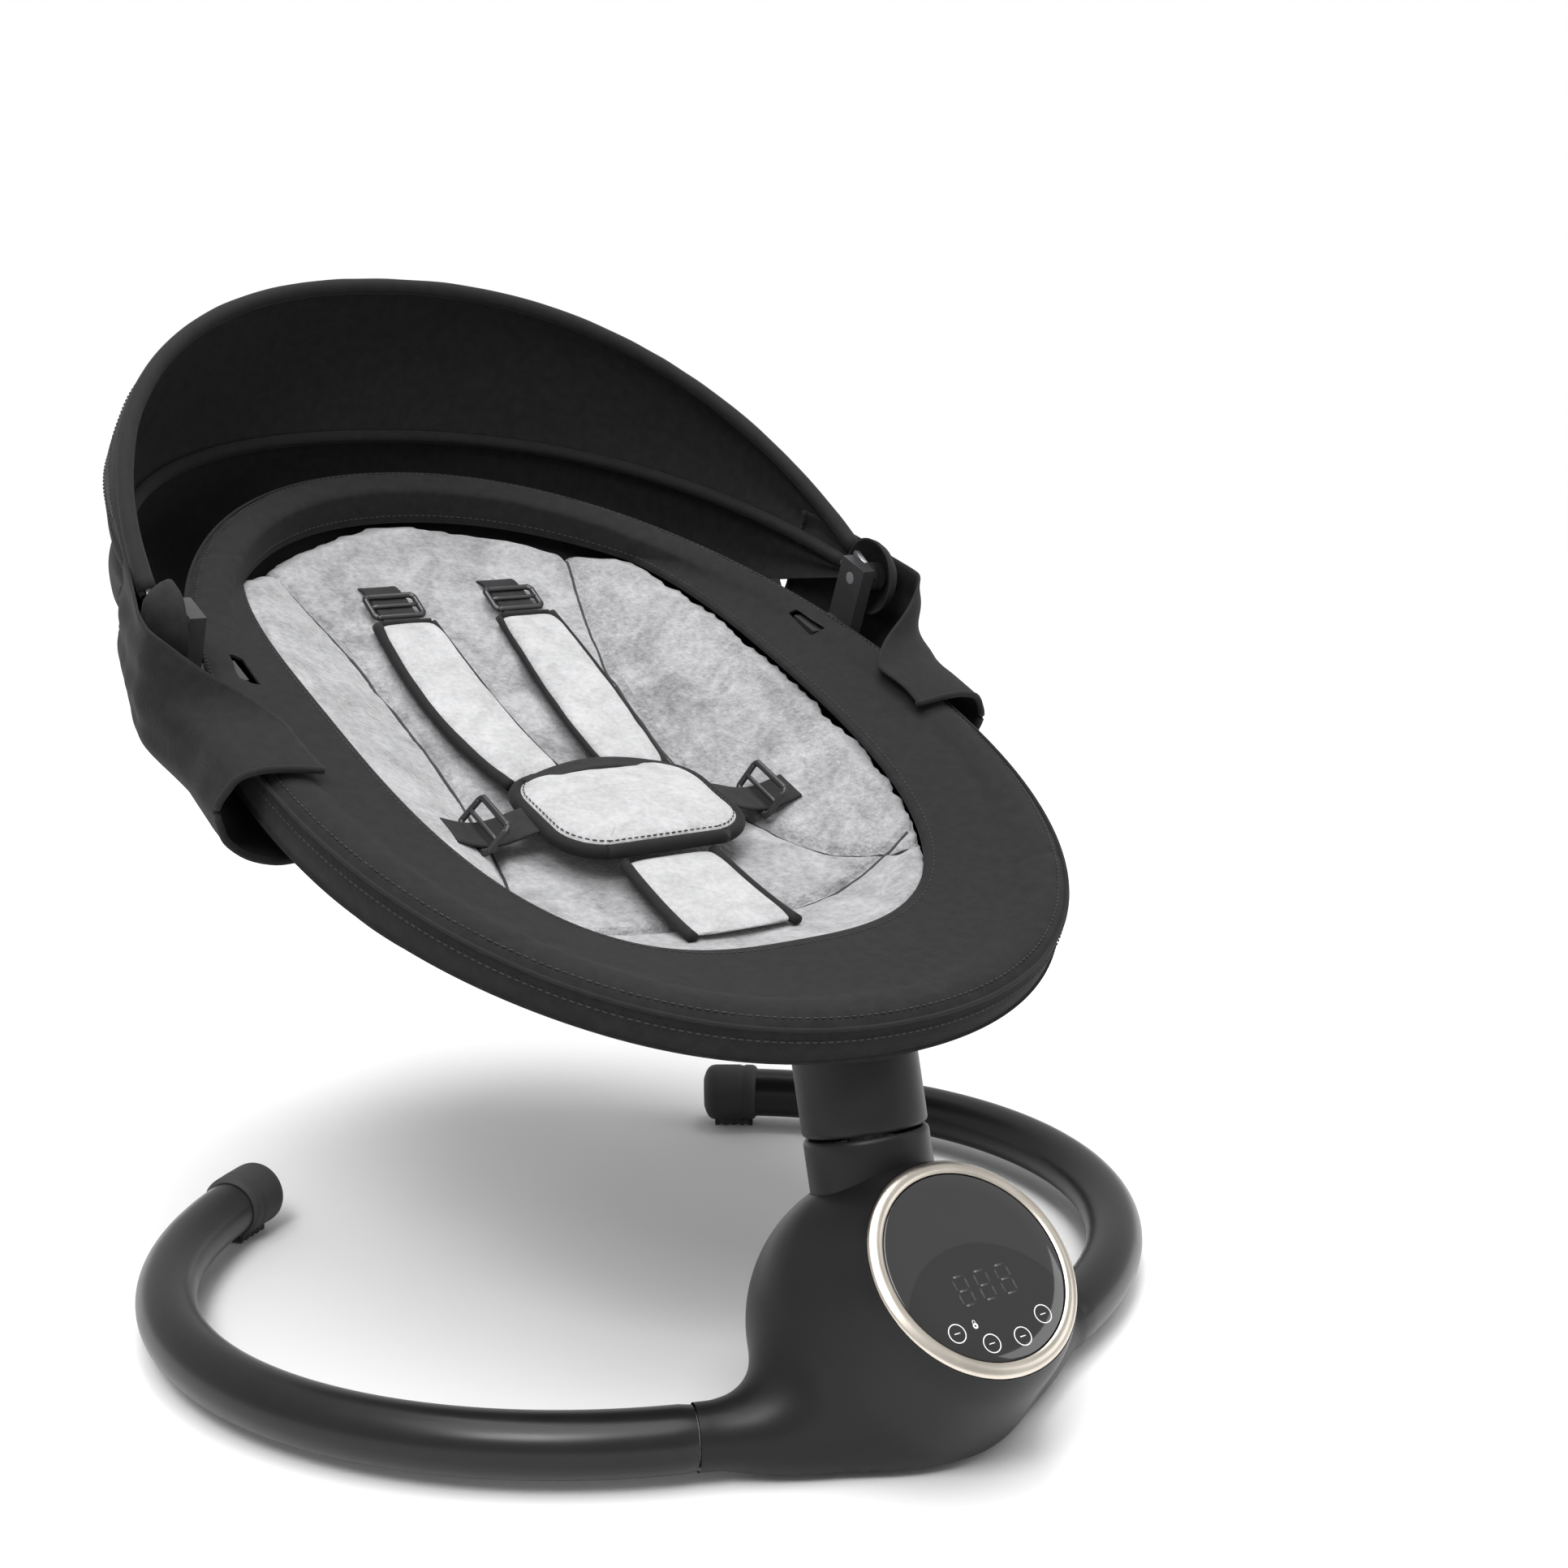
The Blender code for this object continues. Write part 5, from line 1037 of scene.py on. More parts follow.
def build_cover():
    """The black cover: band, rolled edge, side and belly in one skin, with seams, welt and tag."""
    turns = np.linspace(0, 360, 480, endpoint=False)
    edge = plush_edge(turns)
    shoulder = seat_oval(turns, SHOULDER_INSET, -0.0016)
    rows = [edge + (0, 0, -0.003), edge + (0, 0, -0.0008)]
    rows += [edge + (shoulder - edge) * t for t in np.linspace(0.04, 0.96, 12)]
    rows += [seat_oval(turns, inset, height) for inset, height in ROLLED_EDGE]
    band = -belly_rows(turns, [1])[0][:, 2]
    for share in np.linspace(0.15, 0.95, 6):
        side = seat_oval(turns, 0.0004 + 0.0009 * math.cos(share * math.pi) ** 2, 0.0)
        side[:, 2] = -0.0026 - (band - 0.0026) * share
        rows.append(side)
    shares = np.concatenate([np.linspace(1, 0.9, 9), np.linspace(0.885, 0.1, 46), [0.05]])
    rows += belly_rows(turns, shares)
    grid = np.array(rows)
    x, s, z = grid[..., 0], grid[..., 1], grid[..., 2]
    below = ease(-z, 0.020, 0.045)
    folds = ripple(grid, (0.030, 0.055, 0.2), 1.0) * 0.0022 + ripple(grid, 0.016, 2.0) * 0.0006
    pulled = bump(s, -0.245, 0.10) * np.sin(np.arctan2(x, s + 0.245) * 9 + 2.2 * ripple(grid, 0.05, 3.0))
    grid[..., 2] += below * (folds + pulled * 0.0016)
    on_band = ease(z, -0.010, -0.001)
    grid[..., 2] += on_band * (ripple(grid, (0.012, 0.012, 0.05), 4.0) * 0.00045)
    for place in BAND_SEAMS:
        grid[..., 2] -= on_band * 0.0009 * bump(np.abs(s - place), 0, 0.0022)
    cover = cloth_sheet("seat_cloth", placed(grid, SEAT), COVER_THICKNESS, around=True)
    hem_path = stem_opening_path(cover, STEM_RADIUS + 0.0042)
    tools = [turned("stem_opening", [(STEM_OPENING, -0.02), (STEM_OPENING, 0.058)], STEM, 96)]
    for side in (-1, 1):
        tools.append(block(f"clip_gap_{side + 1}",
                           (side * CLIP_PLACE - 0.0165, PIVOT_PLACE - CLIP_HALF_LENGTH, -0.028),
                           (side * CLIP_PLACE + 0.0195, PIVOT_PLACE + CLIP_HALF_LENGTH, 0.0015), SEAT))
    carved(cover, tools, 60)
    done(cover, "seat", finished("black_fabric"), "black_fabric", "seat_cover")
    hem = section_piece("stem_hem", smooth_line(hem_path, 140, closed=True), round_section(0.0021, 14, 1.5),
                        STEM_UP, closed=True)
    done(hem, "seat", finished("fabric_hem"), "black_fabric")
    seams = (seat_oval(turns, 0.0062, 0.0024), edge + (shoulder - edge) * 0.10 + (0, 0, 0.0002),
             seat_oval(turns, -0.0002, -0.0070))
    lines = [stitch_line("seam", placed(seam, SEAT), SEAT_UP, closed=True) for seam in seams]
    done(merged("cover_stitching", lines), "seat", finished("stitching"), "black_fabric")
    welt = section_piece("cover_welt", placed(seat_oval(turns, 0.0006, -0.0006), SEAT),
                         round_section(0.0011, 10), SEAT_UP, closed=True)
    done(welt, "seat", finished("fabric_hem"), "black_fabric")
    tag = cloth_sheet("side_tag",
                      placed([[(0.2035 + 0.010 * u, -0.030 + 0.016 * v + 0.004 * u, 0.0042 - 0.006 * u * u)
                               for u in np.linspace(0, 1, 8)] for v in (0, 0.33, 0.66, 1)], SEAT),
                      TAG_THICKNESS)
    done(tag, "seat", finished("fabric_hem"), "black_fabric")


def distance_to_line(x, s, line):
    """Distance from each point to a broken line."""
    best = np.full(np.shape(x), 9.0)
    for (ax, a_s), (bx, bs) in zip(line, line[1:]):
        dx, ds = bx - ax, bs - a_s
        share = np.clip(((x - ax) * dx + (s - a_s) * ds) / (dx * dx + ds * ds), 0, 1)
        best = np.minimum(best, np.hypot(x - ax - dx * share, s - a_s - ds * share))
    return best


WING_SEAM = ((0.112, 0.262), (0.100, 0.215), (0.086, 0.160), (0.078, 0.110), (0.0745, 0.050), (0.076, 0.0),
             (0.084, -0.050), (0.099, -0.098), (0.125, -0.140), (0.140, -0.152))
FOOT_SEAM = ((-0.135, -0.128), (-0.08, -0.141), (0.0, -0.146), (0.08, -0.141), (0.135, -0.128))
HEAD_CREASE = ((-0.078, 0.118), (-0.04, 0.110), (0.0, 0.108), (0.04, 0.110), (0.078, 0.118))


FILLING_PRESSURE = 3.0
FILLING_CAP = 0.0022
FILLING_VOXEL = 0.0042
FILLING_FRAMES = 20
FILLING_QUALITY = 5
PLUSH_SHARES = (1, 0.985, 0.95, 0.90, 0.84, 0.76, 0.66, 0.55, 0.42, 0.28, 0.14, 0.03)
SEAM_WIDTH = 0.0036


def puffed(item):
    """The pad blown up a little by cloth simulation, no point moving further than the cap."""
    remesh = item.modifiers.new("even", "REMESH")
    remesh.mode = "VOXEL"
    remesh.voxel_size = FILLING_VOXEL
    settled(item)
    start = points_of(item)
    cloth = item.modifiers.new("filling", "CLOTH")
    cloth.settings.use_pressure = True
    cloth.settings.uniform_pressure_force = FILLING_PRESSURE
    cloth.settings.effector_weights.gravity = 0
    cloth.settings.quality = FILLING_QUALITY
    cloth.point_cache.frame_start, cloth.point_cache.frame_end = 1, FILLING_FRAMES
    scene = bpy.context.scene
    for moment in range(1, FILLING_FRAMES + 1):
        scene.frame_set(moment)
    mesh = bpy.data.meshes.new_from_object(item.evaluated_get(bpy.context.evaluated_depsgraph_get()))
    item.modifiers.clear()
    scene.frame_set(1)
    item.data = mesh
    moved = points_of(item) - start
    far = np.linalg.norm(moved, axis=1, keepdims=True)
    move_points(item, start + moved * np.minimum(1, FILLING_CAP / np.maximum(far, 1e-9)))
    return item


def finer(item):
    """The mesh subdivided and smoothed once."""
    step = item.modifiers.new("finer", "SUBSURF")
    step.levels = step.render_levels = 1
    return settled(item)


def build_plush():
    """The plush lining, filled, then sewn along its seams."""
    turns = np.linspace(0, 360, 180, endpoint=False)
    edge = plush_edge(turns, -0.0030)
    top, low = [], []
    for share in PLUSH_SHARES:
        x, s = edge[:, 0] * share, PLUSH_SHIFT + (edge[:, 1] - PLUSH_SHIFT) * share
        height = plush_height(x, s) + 0.0025 * share**4 - 0.0075 * ease(share, 0.955, 1.0)
        top.append(np.stack([x, s, height], axis=1))
        low.append(np.stack([x, s, height - min(0.018, 0.011 + 0.05 * (1 - share))], axis=1))
    pad = lofted("seat_plush", placed(np.array(top[::-1] + low), SEAT))
    puffed(pad)
    finer(pad)
    points = local(points_of(pad), SEAT)
    facing = normals_of(pad) @ SEAT_UP
    x, s = points[:, 0], points[:, 1]
    top_side = ease(facing, 0.05, 0.45)
    wing = distance_to_line(np.abs(x), s, WING_SEAM)
    foot = distance_to_line(x, s, FOOT_SEAM)
    head = distance_to_line(x, s, HEAD_CREASE)
    near = np.minimum(wing, foot)
    groove = bpy.context.scene.swing_sizes.groove
    lift = 0.0012 * (1 - bump(near, 0, 0.016)) - groove * bump(near, 0, SEAM_WIDTH)
    lift = lift - 0.0030 * bump(head, 0, 0.011) - 0.0020 * ease(near, 0.03, 0.0)
    puckers = 0.0010 * bump(near, 0, 0.014) * ripple(points, (0.011, 0.011, 0.05), 5.0)
    soft = 0.0013 * ripple(points, (0.045, 0.055, 0.1), 6.0) + 0.0007 * ripple(points, 0.018, 7.0)
    wings = 0.0040 * ease(np.abs(x), 0.085, 0.115) * (1 - ease(np.abs(x), 0.125, 0.150)) * ease(s, -0.10, 0.0)
    points[:, 2] += top_side * (lift + puckers + soft + wings)
    move_points(pad, placed(points, SEAT))
    done(pad, "seat", finished("grey_plush"), "grey_plush", "seat_pad")
    tree = BVHTree.FromObject(pad, bpy.context.evaluated_depsgraph_get())
    mirrored_seam = [(-x, s) for x, s in WING_SEAM]
    cords = []
    for line in (WING_SEAM, mirrored_seam, FOOT_SEAM):
        path = []
        for x, s in smooth_line(line, 70):
            hit = tree.ray_cast(SEAT @ Vector((x, s, 0.05)), -Vector(SEAT_UP))[0]
            if hit is not None:
                path.append(np.array(hit) + SEAT_UP * 0.0001)
        cords.append(section_piece("seam", smooth_line(path, 160), round_section(0.0009, 8), SEAT_UP))
    done(merged("pad_seams", cords), "seat", finished("stitching"), "grey_plush")


# ---- harness -------------------------------------------------------------------------------------
BELLY_PLACE = -0.045
BELLY_HEIGHT = float(plush_height(0.0, BELLY_PLACE)) + 0.022
BELLY_PAD_FRAME = SEAT @ leaning((0, BELLY_PLACE, BELLY_HEIGHT), -4)
SHOULDER_X = 0.0415
SHOULDER_STRAP_SPAN = (0.222, 0.158)
SHOULDER_PAD_SPAN = (0.166, 0.0)
WEBBING_WIDTH = 0.025
WEBBING_THICKNESS = 0.0017
WEBBING_BEAD = 0.0002
WAIST_SPAN = (0.0560, 0.1120)
CROTCH_LENGTH = 0.080
BELLY_PAD_ROWS = ((0.05, -0.0052), (0.5, -0.0052), (0.90, -0.0050), (0.975, -0.0040), (1, -0.0015),
                  (1, 0.0012), (0.985, 0.0035), (0.95, 0.0056), (0.88, 0.0074), (0.76, 0.0088),
                  (0.58, 0.0097), (0.36, 0.0102), (0.14, 0.0104), (0.03, 0.0104))


def rounded_outline(half_width, half_length, corner, steps=14):
    """A rectangle with rounded corners."""
    points = []
    for sx, sy, first in ((1, -1, -90), (1, 1, 0), (-1, 1, 90), (-1, -1, 180)):
        for angle in np.radians(np.linspace(first, first + 90, steps)):
            points.append((sx * (half_width - corner) + corner * math.cos(angle),
                           sy * (half_length - corner) + corner * math.sin(angle)))
    return smooth_line(points, 120, closed=True)


def above(x, s, lift):
    """Points of the seat, lifted off the plush."""
    x, s = np.broadcast_arrays(np.asarray(x, float), np.asarray(s, float))
    return np.stack([x, s, plush_height(x, s) + lift], axis=-1)


def plush_strip(name, path, half_widths, thickness):
    """A soft strip with a crowned top, rounded sides and closed ends, along points of the seat."""
    turns = np.linspace(0, 2 * math.pi, 40, endpoint=False)
    across = power(np.cos(turns), 0.55)
    over = np.where(np.sin(turns) > 0, 1.0, 0.42) * power(np.sin(turns), 0.75)
    count = len(path)
    ends = np.minimum(np.arange(count), np.arange(count)[::-1]) / 5.0
    full = np.sqrt(np.clip(1 - (1 - np.clip(ends, 0, 1)) ** 2, 0.02, 1))
    sections = np.stack([np.outer(half_widths * (0.86 + 0.14 * full), across),
                         np.outer(thickness * full, over)], axis=-1)
    return lofted(name, placed(section_rings(path, sections, (0, 0, 1)), SEAT))


def strap(name, path):
    """Webbing laid along points of the seat."""
    path = smooth_line(path, max(24, 6 * len(path)))
    section = flat_section(WEBBING_WIDTH, WEBBING_THICKNESS, WEBBING_BEAD)
    return lofted(name, placed(section_rings(path, section, (0, 0, 1)), SEAT))


def slide_buckle(name, centre, along, lean):
    """A tri-glide: a moulded loop with one bar across its middle."""
    along = Vector(along).normalized()
    side = along.cross(Vector((0, 0, 1))).normalized()
    along = Matrix.Rotation(math.radians(lean), 3, side) @ along
    up = side.cross(along)
    turn = Matrix([[side[i], along[i], up[i]] for i in range(3)]).to_4x4()
    place = SEAT @ Matrix.Translation(centre) @ turn
    loop = placed([(x, y, 0) for x, y in rounded_outline(0.0164, 0.0098, 0.0032)], place)
    normal = np.array(place.to_3x3().col[2])
    frame_loop = section_piece(name, loop, round_section(0.0020, 14, 0.85), normal, closed=True)
    bar = section_piece("bar", placed([(x, 0, 0.0004) for x in np.linspace(-0.0156, 0.0156, 8)], place),
                        round_section(0.0015, 12, 0.8), normal)
    return merged(name, [frame_loop, bar])


def build_harness():
    """Belly, shoulder and crotch pads with their bindings, straps and slides."""
    outline = rounded_outline(0.0585, 0.0430, 0.026)
    pad_rows = [[(x * share, y * share, height) for x, y in outline] for share, height in BELLY_PAD_ROWS]
    pad = finer(lofted("belly_cushion", placed(pad_rows, BELLY_PAD_FRAME)))
    points = points_of(pad)
    uneven = 0.0007 * ripple(points, 0.022, 8.0) + 0.0003 * ripple(points, 0.009, 9.0)
    move_points(pad, points + normals_of(pad) * uneven[:, None])
    done(pad, "seat", finished("pad_plush"), "grey_plush", "belly_pad")
    up = np.array(BELLY_PAD_FRAME.to_3x3().col[2])
    rim = placed([(x * 1.008, y * 1.008, 0.0006) for x, y in outline], BELLY_PAD_FRAME)
    binding = section_piece("belly_binding", rim, round_section(0.0042, 16, 1.0), up, closed=True)
    done(binding, "seat", finished("fabric_hem"), "black_fabric")
    inner = placed([(x * 0.955, y * 0.945, 0.0059) for x, y in outline], BELLY_PAD_FRAME)
    done(stitch_line("belly_stitching", inner, up, closed=True), "seat", finished("stitching"),
         "black_fabric")
    yoke = [(x, 0.0415 - 0.20 * x * x / 0.05, 0.0052 + 0.0030 * math.cos(x * 40))
            for x in np.linspace(-0.046, 0.046, 24)]
    band = lofted("belly_yoke", section_rings(placed(yoke, BELLY_PAD_FRAME),
                                              flat_section(0.0125, 0.0022, 0.0003), up))
    done(band, "seat", finished("webbing"), "webbing")
    for side, word in ((-1, "left"), (1, "right")):
        lifts = (-0.004, 0.0060, 0.0082, 0.0082, 0.0080, 0.0078)
        top = above(side * SHOULDER_X, np.linspace(*SHOULDER_STRAP_SPAN, len(lifts)), lifts)
        done(strap(f"{word}_shoulder_web", top), "seat", finished("webbing"), "webbing",
             f"{word}_shoulder_strap")
        heading = above(0.0, 0.19, 0) - above(0.0, 0.178, 0)
        glide = slide_buckle(f"{word}_shoulder_slide", above(side * SHOULDER_X, 0.184, 0.0098), heading, 4)
        done(glide, "seat", finished("buckle_plastic"), "buckle_plastic", f"{word}_shoulder_glide")
        share = np.linspace(0, 1, 44)
        s = SHOULDER_PAD_SPAN[0] + (SHOULDER_PAD_SPAN[1] - SHOULDER_PAD_SPAN[0]) * share
        x = side * SHOULDER_X * (1 - 0.20 * share)
        path = above(x, s, 0.0088 + 0.0095 * share**2)
        widths = 0.0190 + 0.0030 * np.sin(math.pi * share)
        path[:, 0] += side * 0.0030 * np.sin(math.pi * share)
        pad = finer(plush_strip(f"{word}_shoulder_cushion", path, widths, 0.0062))
        points = points_of(pad)
        move_points(pad, points + normals_of(pad) * (0.0005 * ripple(points, 0.018, 10.0 + side))[:, None])
        done(pad, "seat", finished("pad_plush"), "grey_plush", f"{word}_shoulder_pad")
        tangent = directions(path)
        across = np.cross(tangent, (0, 0, 1))
        across /= np.linalg.norm(across, axis=1, keepdims=True)
        rims = []
        for edge in (-1, 1):
            line = path + across * (edge * widths * 0.99)[:, None]
            size = 0.0034 if edge == -side else 0.0022
            rims.append(section_piece("rim", placed(line, SEAT), round_section(size, 12, 1.0), SEAT_UP))
        for end, step in ((0, -0.001), (-1, 0.001)):
            reach = np.linspace(-1, 1, 9)[:, None] * widths[end] * 0.9
            line = path[end] + across[end] * reach + tangent[end] * step
            rims.append(section_piece("rim", placed(line, SEAT), round_section(0.0021, 12, 1.25), SEAT_UP))
        done(merged(f"{word}_shoulder_binding", rims), "seat", finished("fabric_hem"), "black_fabric")
        if side < 0:
            corner = path[30] + across[30] * 0.0195 * side
            tag = [[corner + (0.0002 * side * i, 0.011 * (j - 0.5), 0.0016 + 0.0012 * i)
                    + np.array((side * 0.0025 * i, 0, 0)) for i in range(4)] for j in np.linspace(0, 1, 6)]
            done(cloth_sheet("pad_tag", placed(tag, SEAT), TAG_THICKNESS), "seat", finished("tag_cloth"),
                 "grey_plush")
        span = np.linspace(0, 1, 9)
        low = above(WAIST_SPAN[0] + (WAIST_SPAN[1] - WAIST_SPAN[0]) * span, BELLY_PLACE, 0.0075)
        down = ease(span, 0, 0.8)
        low[:, 2] = np.maximum(low[:, 2], (BELLY_HEIGHT + 0.002) * (1 - down) + low[:, 2] * down)
        low[:, 0] *= side
        web = strap(f"{word}_waist_web", low)
        done(web, "seat", finished("webbing"), "webbing", f"{word}_waist_strap")
        spot = low[5] + (0, 0, 0.0062)
        glide = slide_buckle(f"{word}_waist_slide", spot, low[6] - low[4], 58 * side)
        done(glide, "seat", finished("buckle_plastic"), "buckle_plastic", f"{word}_waist_glide")
    first = BELLY_PLACE - 0.047
    share = np.linspace(0, 1, 22)
    path = above(0.0, first - CROTCH_LENGTH * share, 0.0170 - 0.0085 * share)
    crotch = finer(plush_strip("crotch_cushion", path, 0.0285 + 0.004 * share, 0.0042))
    done(crotch, "seat", finished("pad_plush"), "grey_plush", "crotch_strap")
    rims = []
    for edge in (-1, 1):
        line = path + np.stack([edge * (0.0290 + 0.004 * share), 0 * share, 0 * share], axis=1)
        rims.append(section_piece("rim", placed(line, SEAT), round_section(0.0034, 12, 0.9), SEAT_UP))
    done(merged("crotch_binding", rims), "seat", finished("fabric_hem"), "black_fabric")


# ---- canopy and pockets --------------------------------------------------------------------------
FRONT_TILT, REAR_TILT, LOW_TILT = 18.2, -4.0, -27.0
ARCH_TILTS = (LOW_TILT, REAR_TILT, FRONT_TILT)
ARCH_WIDTHS = (0.2245, 0.2285, 0.2343)
ARCH_RADII = (0.2664, 0.2784, 0.2844)
CANOPY_PROUD = 0.0036
CANOPY_THICKNESS = 0.0012
FRONT_SLACK = 0.0075
REAR_SLACK = 0.0085
RIM_RADIUS = 0.0049
BACK_RIM_RADIUS = 0.0042
SEAM_TILTS = (6.6, 8.0, 15.6)
PIVOT_DOME = ((0.0002, 0.2428), (0.006, 0.2426), (0.012, 0.2418), (0.017, 0.2398), (0.021, 0.2364),
              (0.0235, 0.2325), (0.0246, 0.2290), (0.0234, 0.2290), (0.0222, 0.2320), (0.0198, 0.2354),
              (0.0160, 0.2384), (0.0110, 0.2404), (0.0055, 0.2412), (0.0002, 0.2414))


def arch(turns, tilts, proud):
    """Points of the canopy: turns run from pivot to pivot, tilts lean the arch, proud is off the bows."""
    turns, tilts = np.broadcast_arrays(np.radians(turns), np.asarray(tilts, float))
    width = np.interp(tilts, ARCH_TILTS, ARCH_WIDTHS) + proud
    radius = np.interp(tilts, ARCH_TILTS, ARCH_RADII) + proud
    x = width * power(np.cos(turns), 2 / CANOPY_ROUNDNESS)
    reach = radius * np.abs(np.sin(turns)) ** (2 / CANOPY_ROUNDNESS)
    lean = np.radians(tilts)
    return np.stack([x, PIVOT_PLACE + reach * np.cos(lean), PIVOT_HEIGHT + reach * np.sin(lean)], axis=-1)


def canopy_cloth(turns, tilts, slack):
    """Outer face of a canopy panel: slack is how far it bellies between its bows."""
    turns, tilts = np.meshgrid(turns, tilts)
    share = (tilts - tilts.min()) / (tilts.max() - tilts.min())
    belly = slack * np.sin(math.pi * share) * ease(np.sin(np.radians(turns)), 0.05, 0.6)
    wander = ripple(np.stack([turns / 40, tilts / 20, 0 * turns], -1), 1.0, 11.0)
    folds = np.sin(np.radians(tilts) * 30 + 1.5 * wander)
    near = ease(32 - np.minimum(turns, 180 - turns), 0, 26)
    sheet_points = arch(turns, tilts, CANOPY_PROUD)
    fine = ripple(sheet_points, 0.05, 12.0) * 0.0016 + ripple(sheet_points, 0.018, 13.0) * 0.0005
    outward = belly + near * folds * 0.0016 + fine * np.sin(math.pi * np.clip(share, 0.05, 0.95))
    centre = np.array((0, PIVOT_PLACE, PIVOT_HEIGHT))
    away = sheet_points - centre
    away /= np.linalg.norm(away, axis=-1, keepdims=True)
    return placed(sheet_points + away * outward[..., None], SEAT)


def build_canopy():
    """Two cloth panels over the bows, their rims, pivot flaps, seams and the apron below."""
    turns = np.concatenate([np.linspace(3.5, 14, 14)[:-1], np.linspace(14, 166, 170),
                            np.linspace(166, 176.5, 14)[1:]])
    tilts = REAR_TILT + np.concatenate([np.linspace(0, 2.7, 26),
                                        np.linspace(3.4, FRONT_TILT - REAR_TILT + 0.3, 30)])
    front = cloth_sheet("canopy_cloth", canopy_cloth(turns, tilts, FRONT_SLACK), CANOPY_THICKNESS)
    done(front, None, finished("black_fabric"), "black_fabric", "canopy_front_panel")
    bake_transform(front)
    tilts = np.concatenate([np.linspace(LOW_TILT, LOW_TILT + 6.5, 26),
                            np.linspace(LOW_TILT + 7.2, REAR_TILT, 26)])
    rear = cloth_sheet("canopy_back_cloth", canopy_cloth(turns, tilts, REAR_SLACK), CANOPY_THICKNESS)
    done(rear, None, finished("black_fabric"), "black_fabric", "canopy_rear_panel")
    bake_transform(rear)
    span = np.linspace(4, 176, 150)
    line = arch(span, FRONT_TILT, 0.0)
    uneven = RIM_RADIUS * (1 + 0.07 * ripple(line, 0.02, 14.0))
    rim = tube("canopy_rim", placed(line, SEAT), uneven, SEAT_UP, 20)
    done(rim, "canopy_front", finished("fabric_hem"), "black_fabric")
    back_rim = tube("canopy_back_rim", placed(arch(span, REAR_TILT, 0.0006), SEAT), BACK_RIM_RADIUS, SEAT_UP,
                    16)
    done(back_rim, "canopy_rear", finished("fabric_hem"), "black_fabric")
    for side, word in ((-1, "left"), (1, "right")):
        outwards = Matrix.Rotation(math.radians(90 * side), 4, "Y")
        hub = SEAT @ Matrix.Translation((0, PIVOT_PLACE, PIVOT_HEIGHT)) @ outwards
        cup = turned(f"{word}_pivot_flap", PIVOT_DOME, hub, 72)
        points = points_of(cup)
        move_points(cup, points + normals_of(cup) * (0.0006 * ripple(points, 0.012, 17.0 + side))[:, None])
        done(cup, "canopy_front", finished("black_fabric"), "black_fabric")
    seams = []
    tree = BVHTree.FromObject(front, bpy.context.evaluated_depsgraph_get())
    for tilt in SEAM_TILTS:
        line = placed(arch(np.linspace(15, 165, 220), tilt, 0.0200), SEAT)
        onto = [tree.find_nearest(Vector(point)) for point in line]
        sewn = [np.array(spot + normal * 0.0003) for spot, normal, _, _ in onto]
        seams.append(stitch_line("seam", smooth_line(sewn, 600), SEAT_UP))
    done(merged("canopy_stitching", seams), "canopy_front", finished("stitching"), "black_fabric")
    span = np.linspace(16, 164, 120)
    edge = arch(span, LOW_TILT, 0.0034)
    inner = seat_oval(13.5 + (span - 16) / 148 * 153, 0.0, -0.021)
    inner[:, :2] *= 0.985
    shares = np.linspace(0, 1, 9)[:, None, None]
    apron = edge + (inner - edge) * shares
    apron[..., 2] -= 0.010 * np.sin(math.pi * shares[..., 0])
    lower = cloth_sheet("canopy_apron", placed(apron, SEAT), CANOPY_THICKNESS)
    done(lower, "seat", finished("black_fabric"), "black_fabric")


CLOSED_POCKET = ((-0.030, 0.0052), (-0.012, 0.0080), (0.004, 0.0085), (0.017, 0.0040), (0.0225, -0.010),
                 (0.0200, -0.026), (0.008, -0.040), (-0.010, -0.047), (-0.025, -0.047))
OPEN_POCKET = ((0.0335, 0.040), (0.0345, 0.030), (0.0350, 0.018), (0.0350, 0.004), (0.0340, -0.010),
               (0.0290, -0.028), (0.014, -0.040), (-0.010, -0.047), (-0.025, -0.047))


def seam_half_width(s):
    """Half the seat's width at this length."""
    along = s / SEAT_HALF_LENGTH
    outline = (1 - np.abs(along) ** SEAT_ROUNDNESS) ** (1 / SEAT_ROUNDNESS)
    return SEAT_HALF_WIDTH * (1 + SEAT_TAPER * along) * outline


POCKET_SPAN = (-0.047, 0.146)
POCKET_OPENING = (-0.005, 0.052)
POCKET_THICKNESS = 0.0014
POCKET_STAND_OFF = 0.0012
CUFF_RADIUS = 0.0020


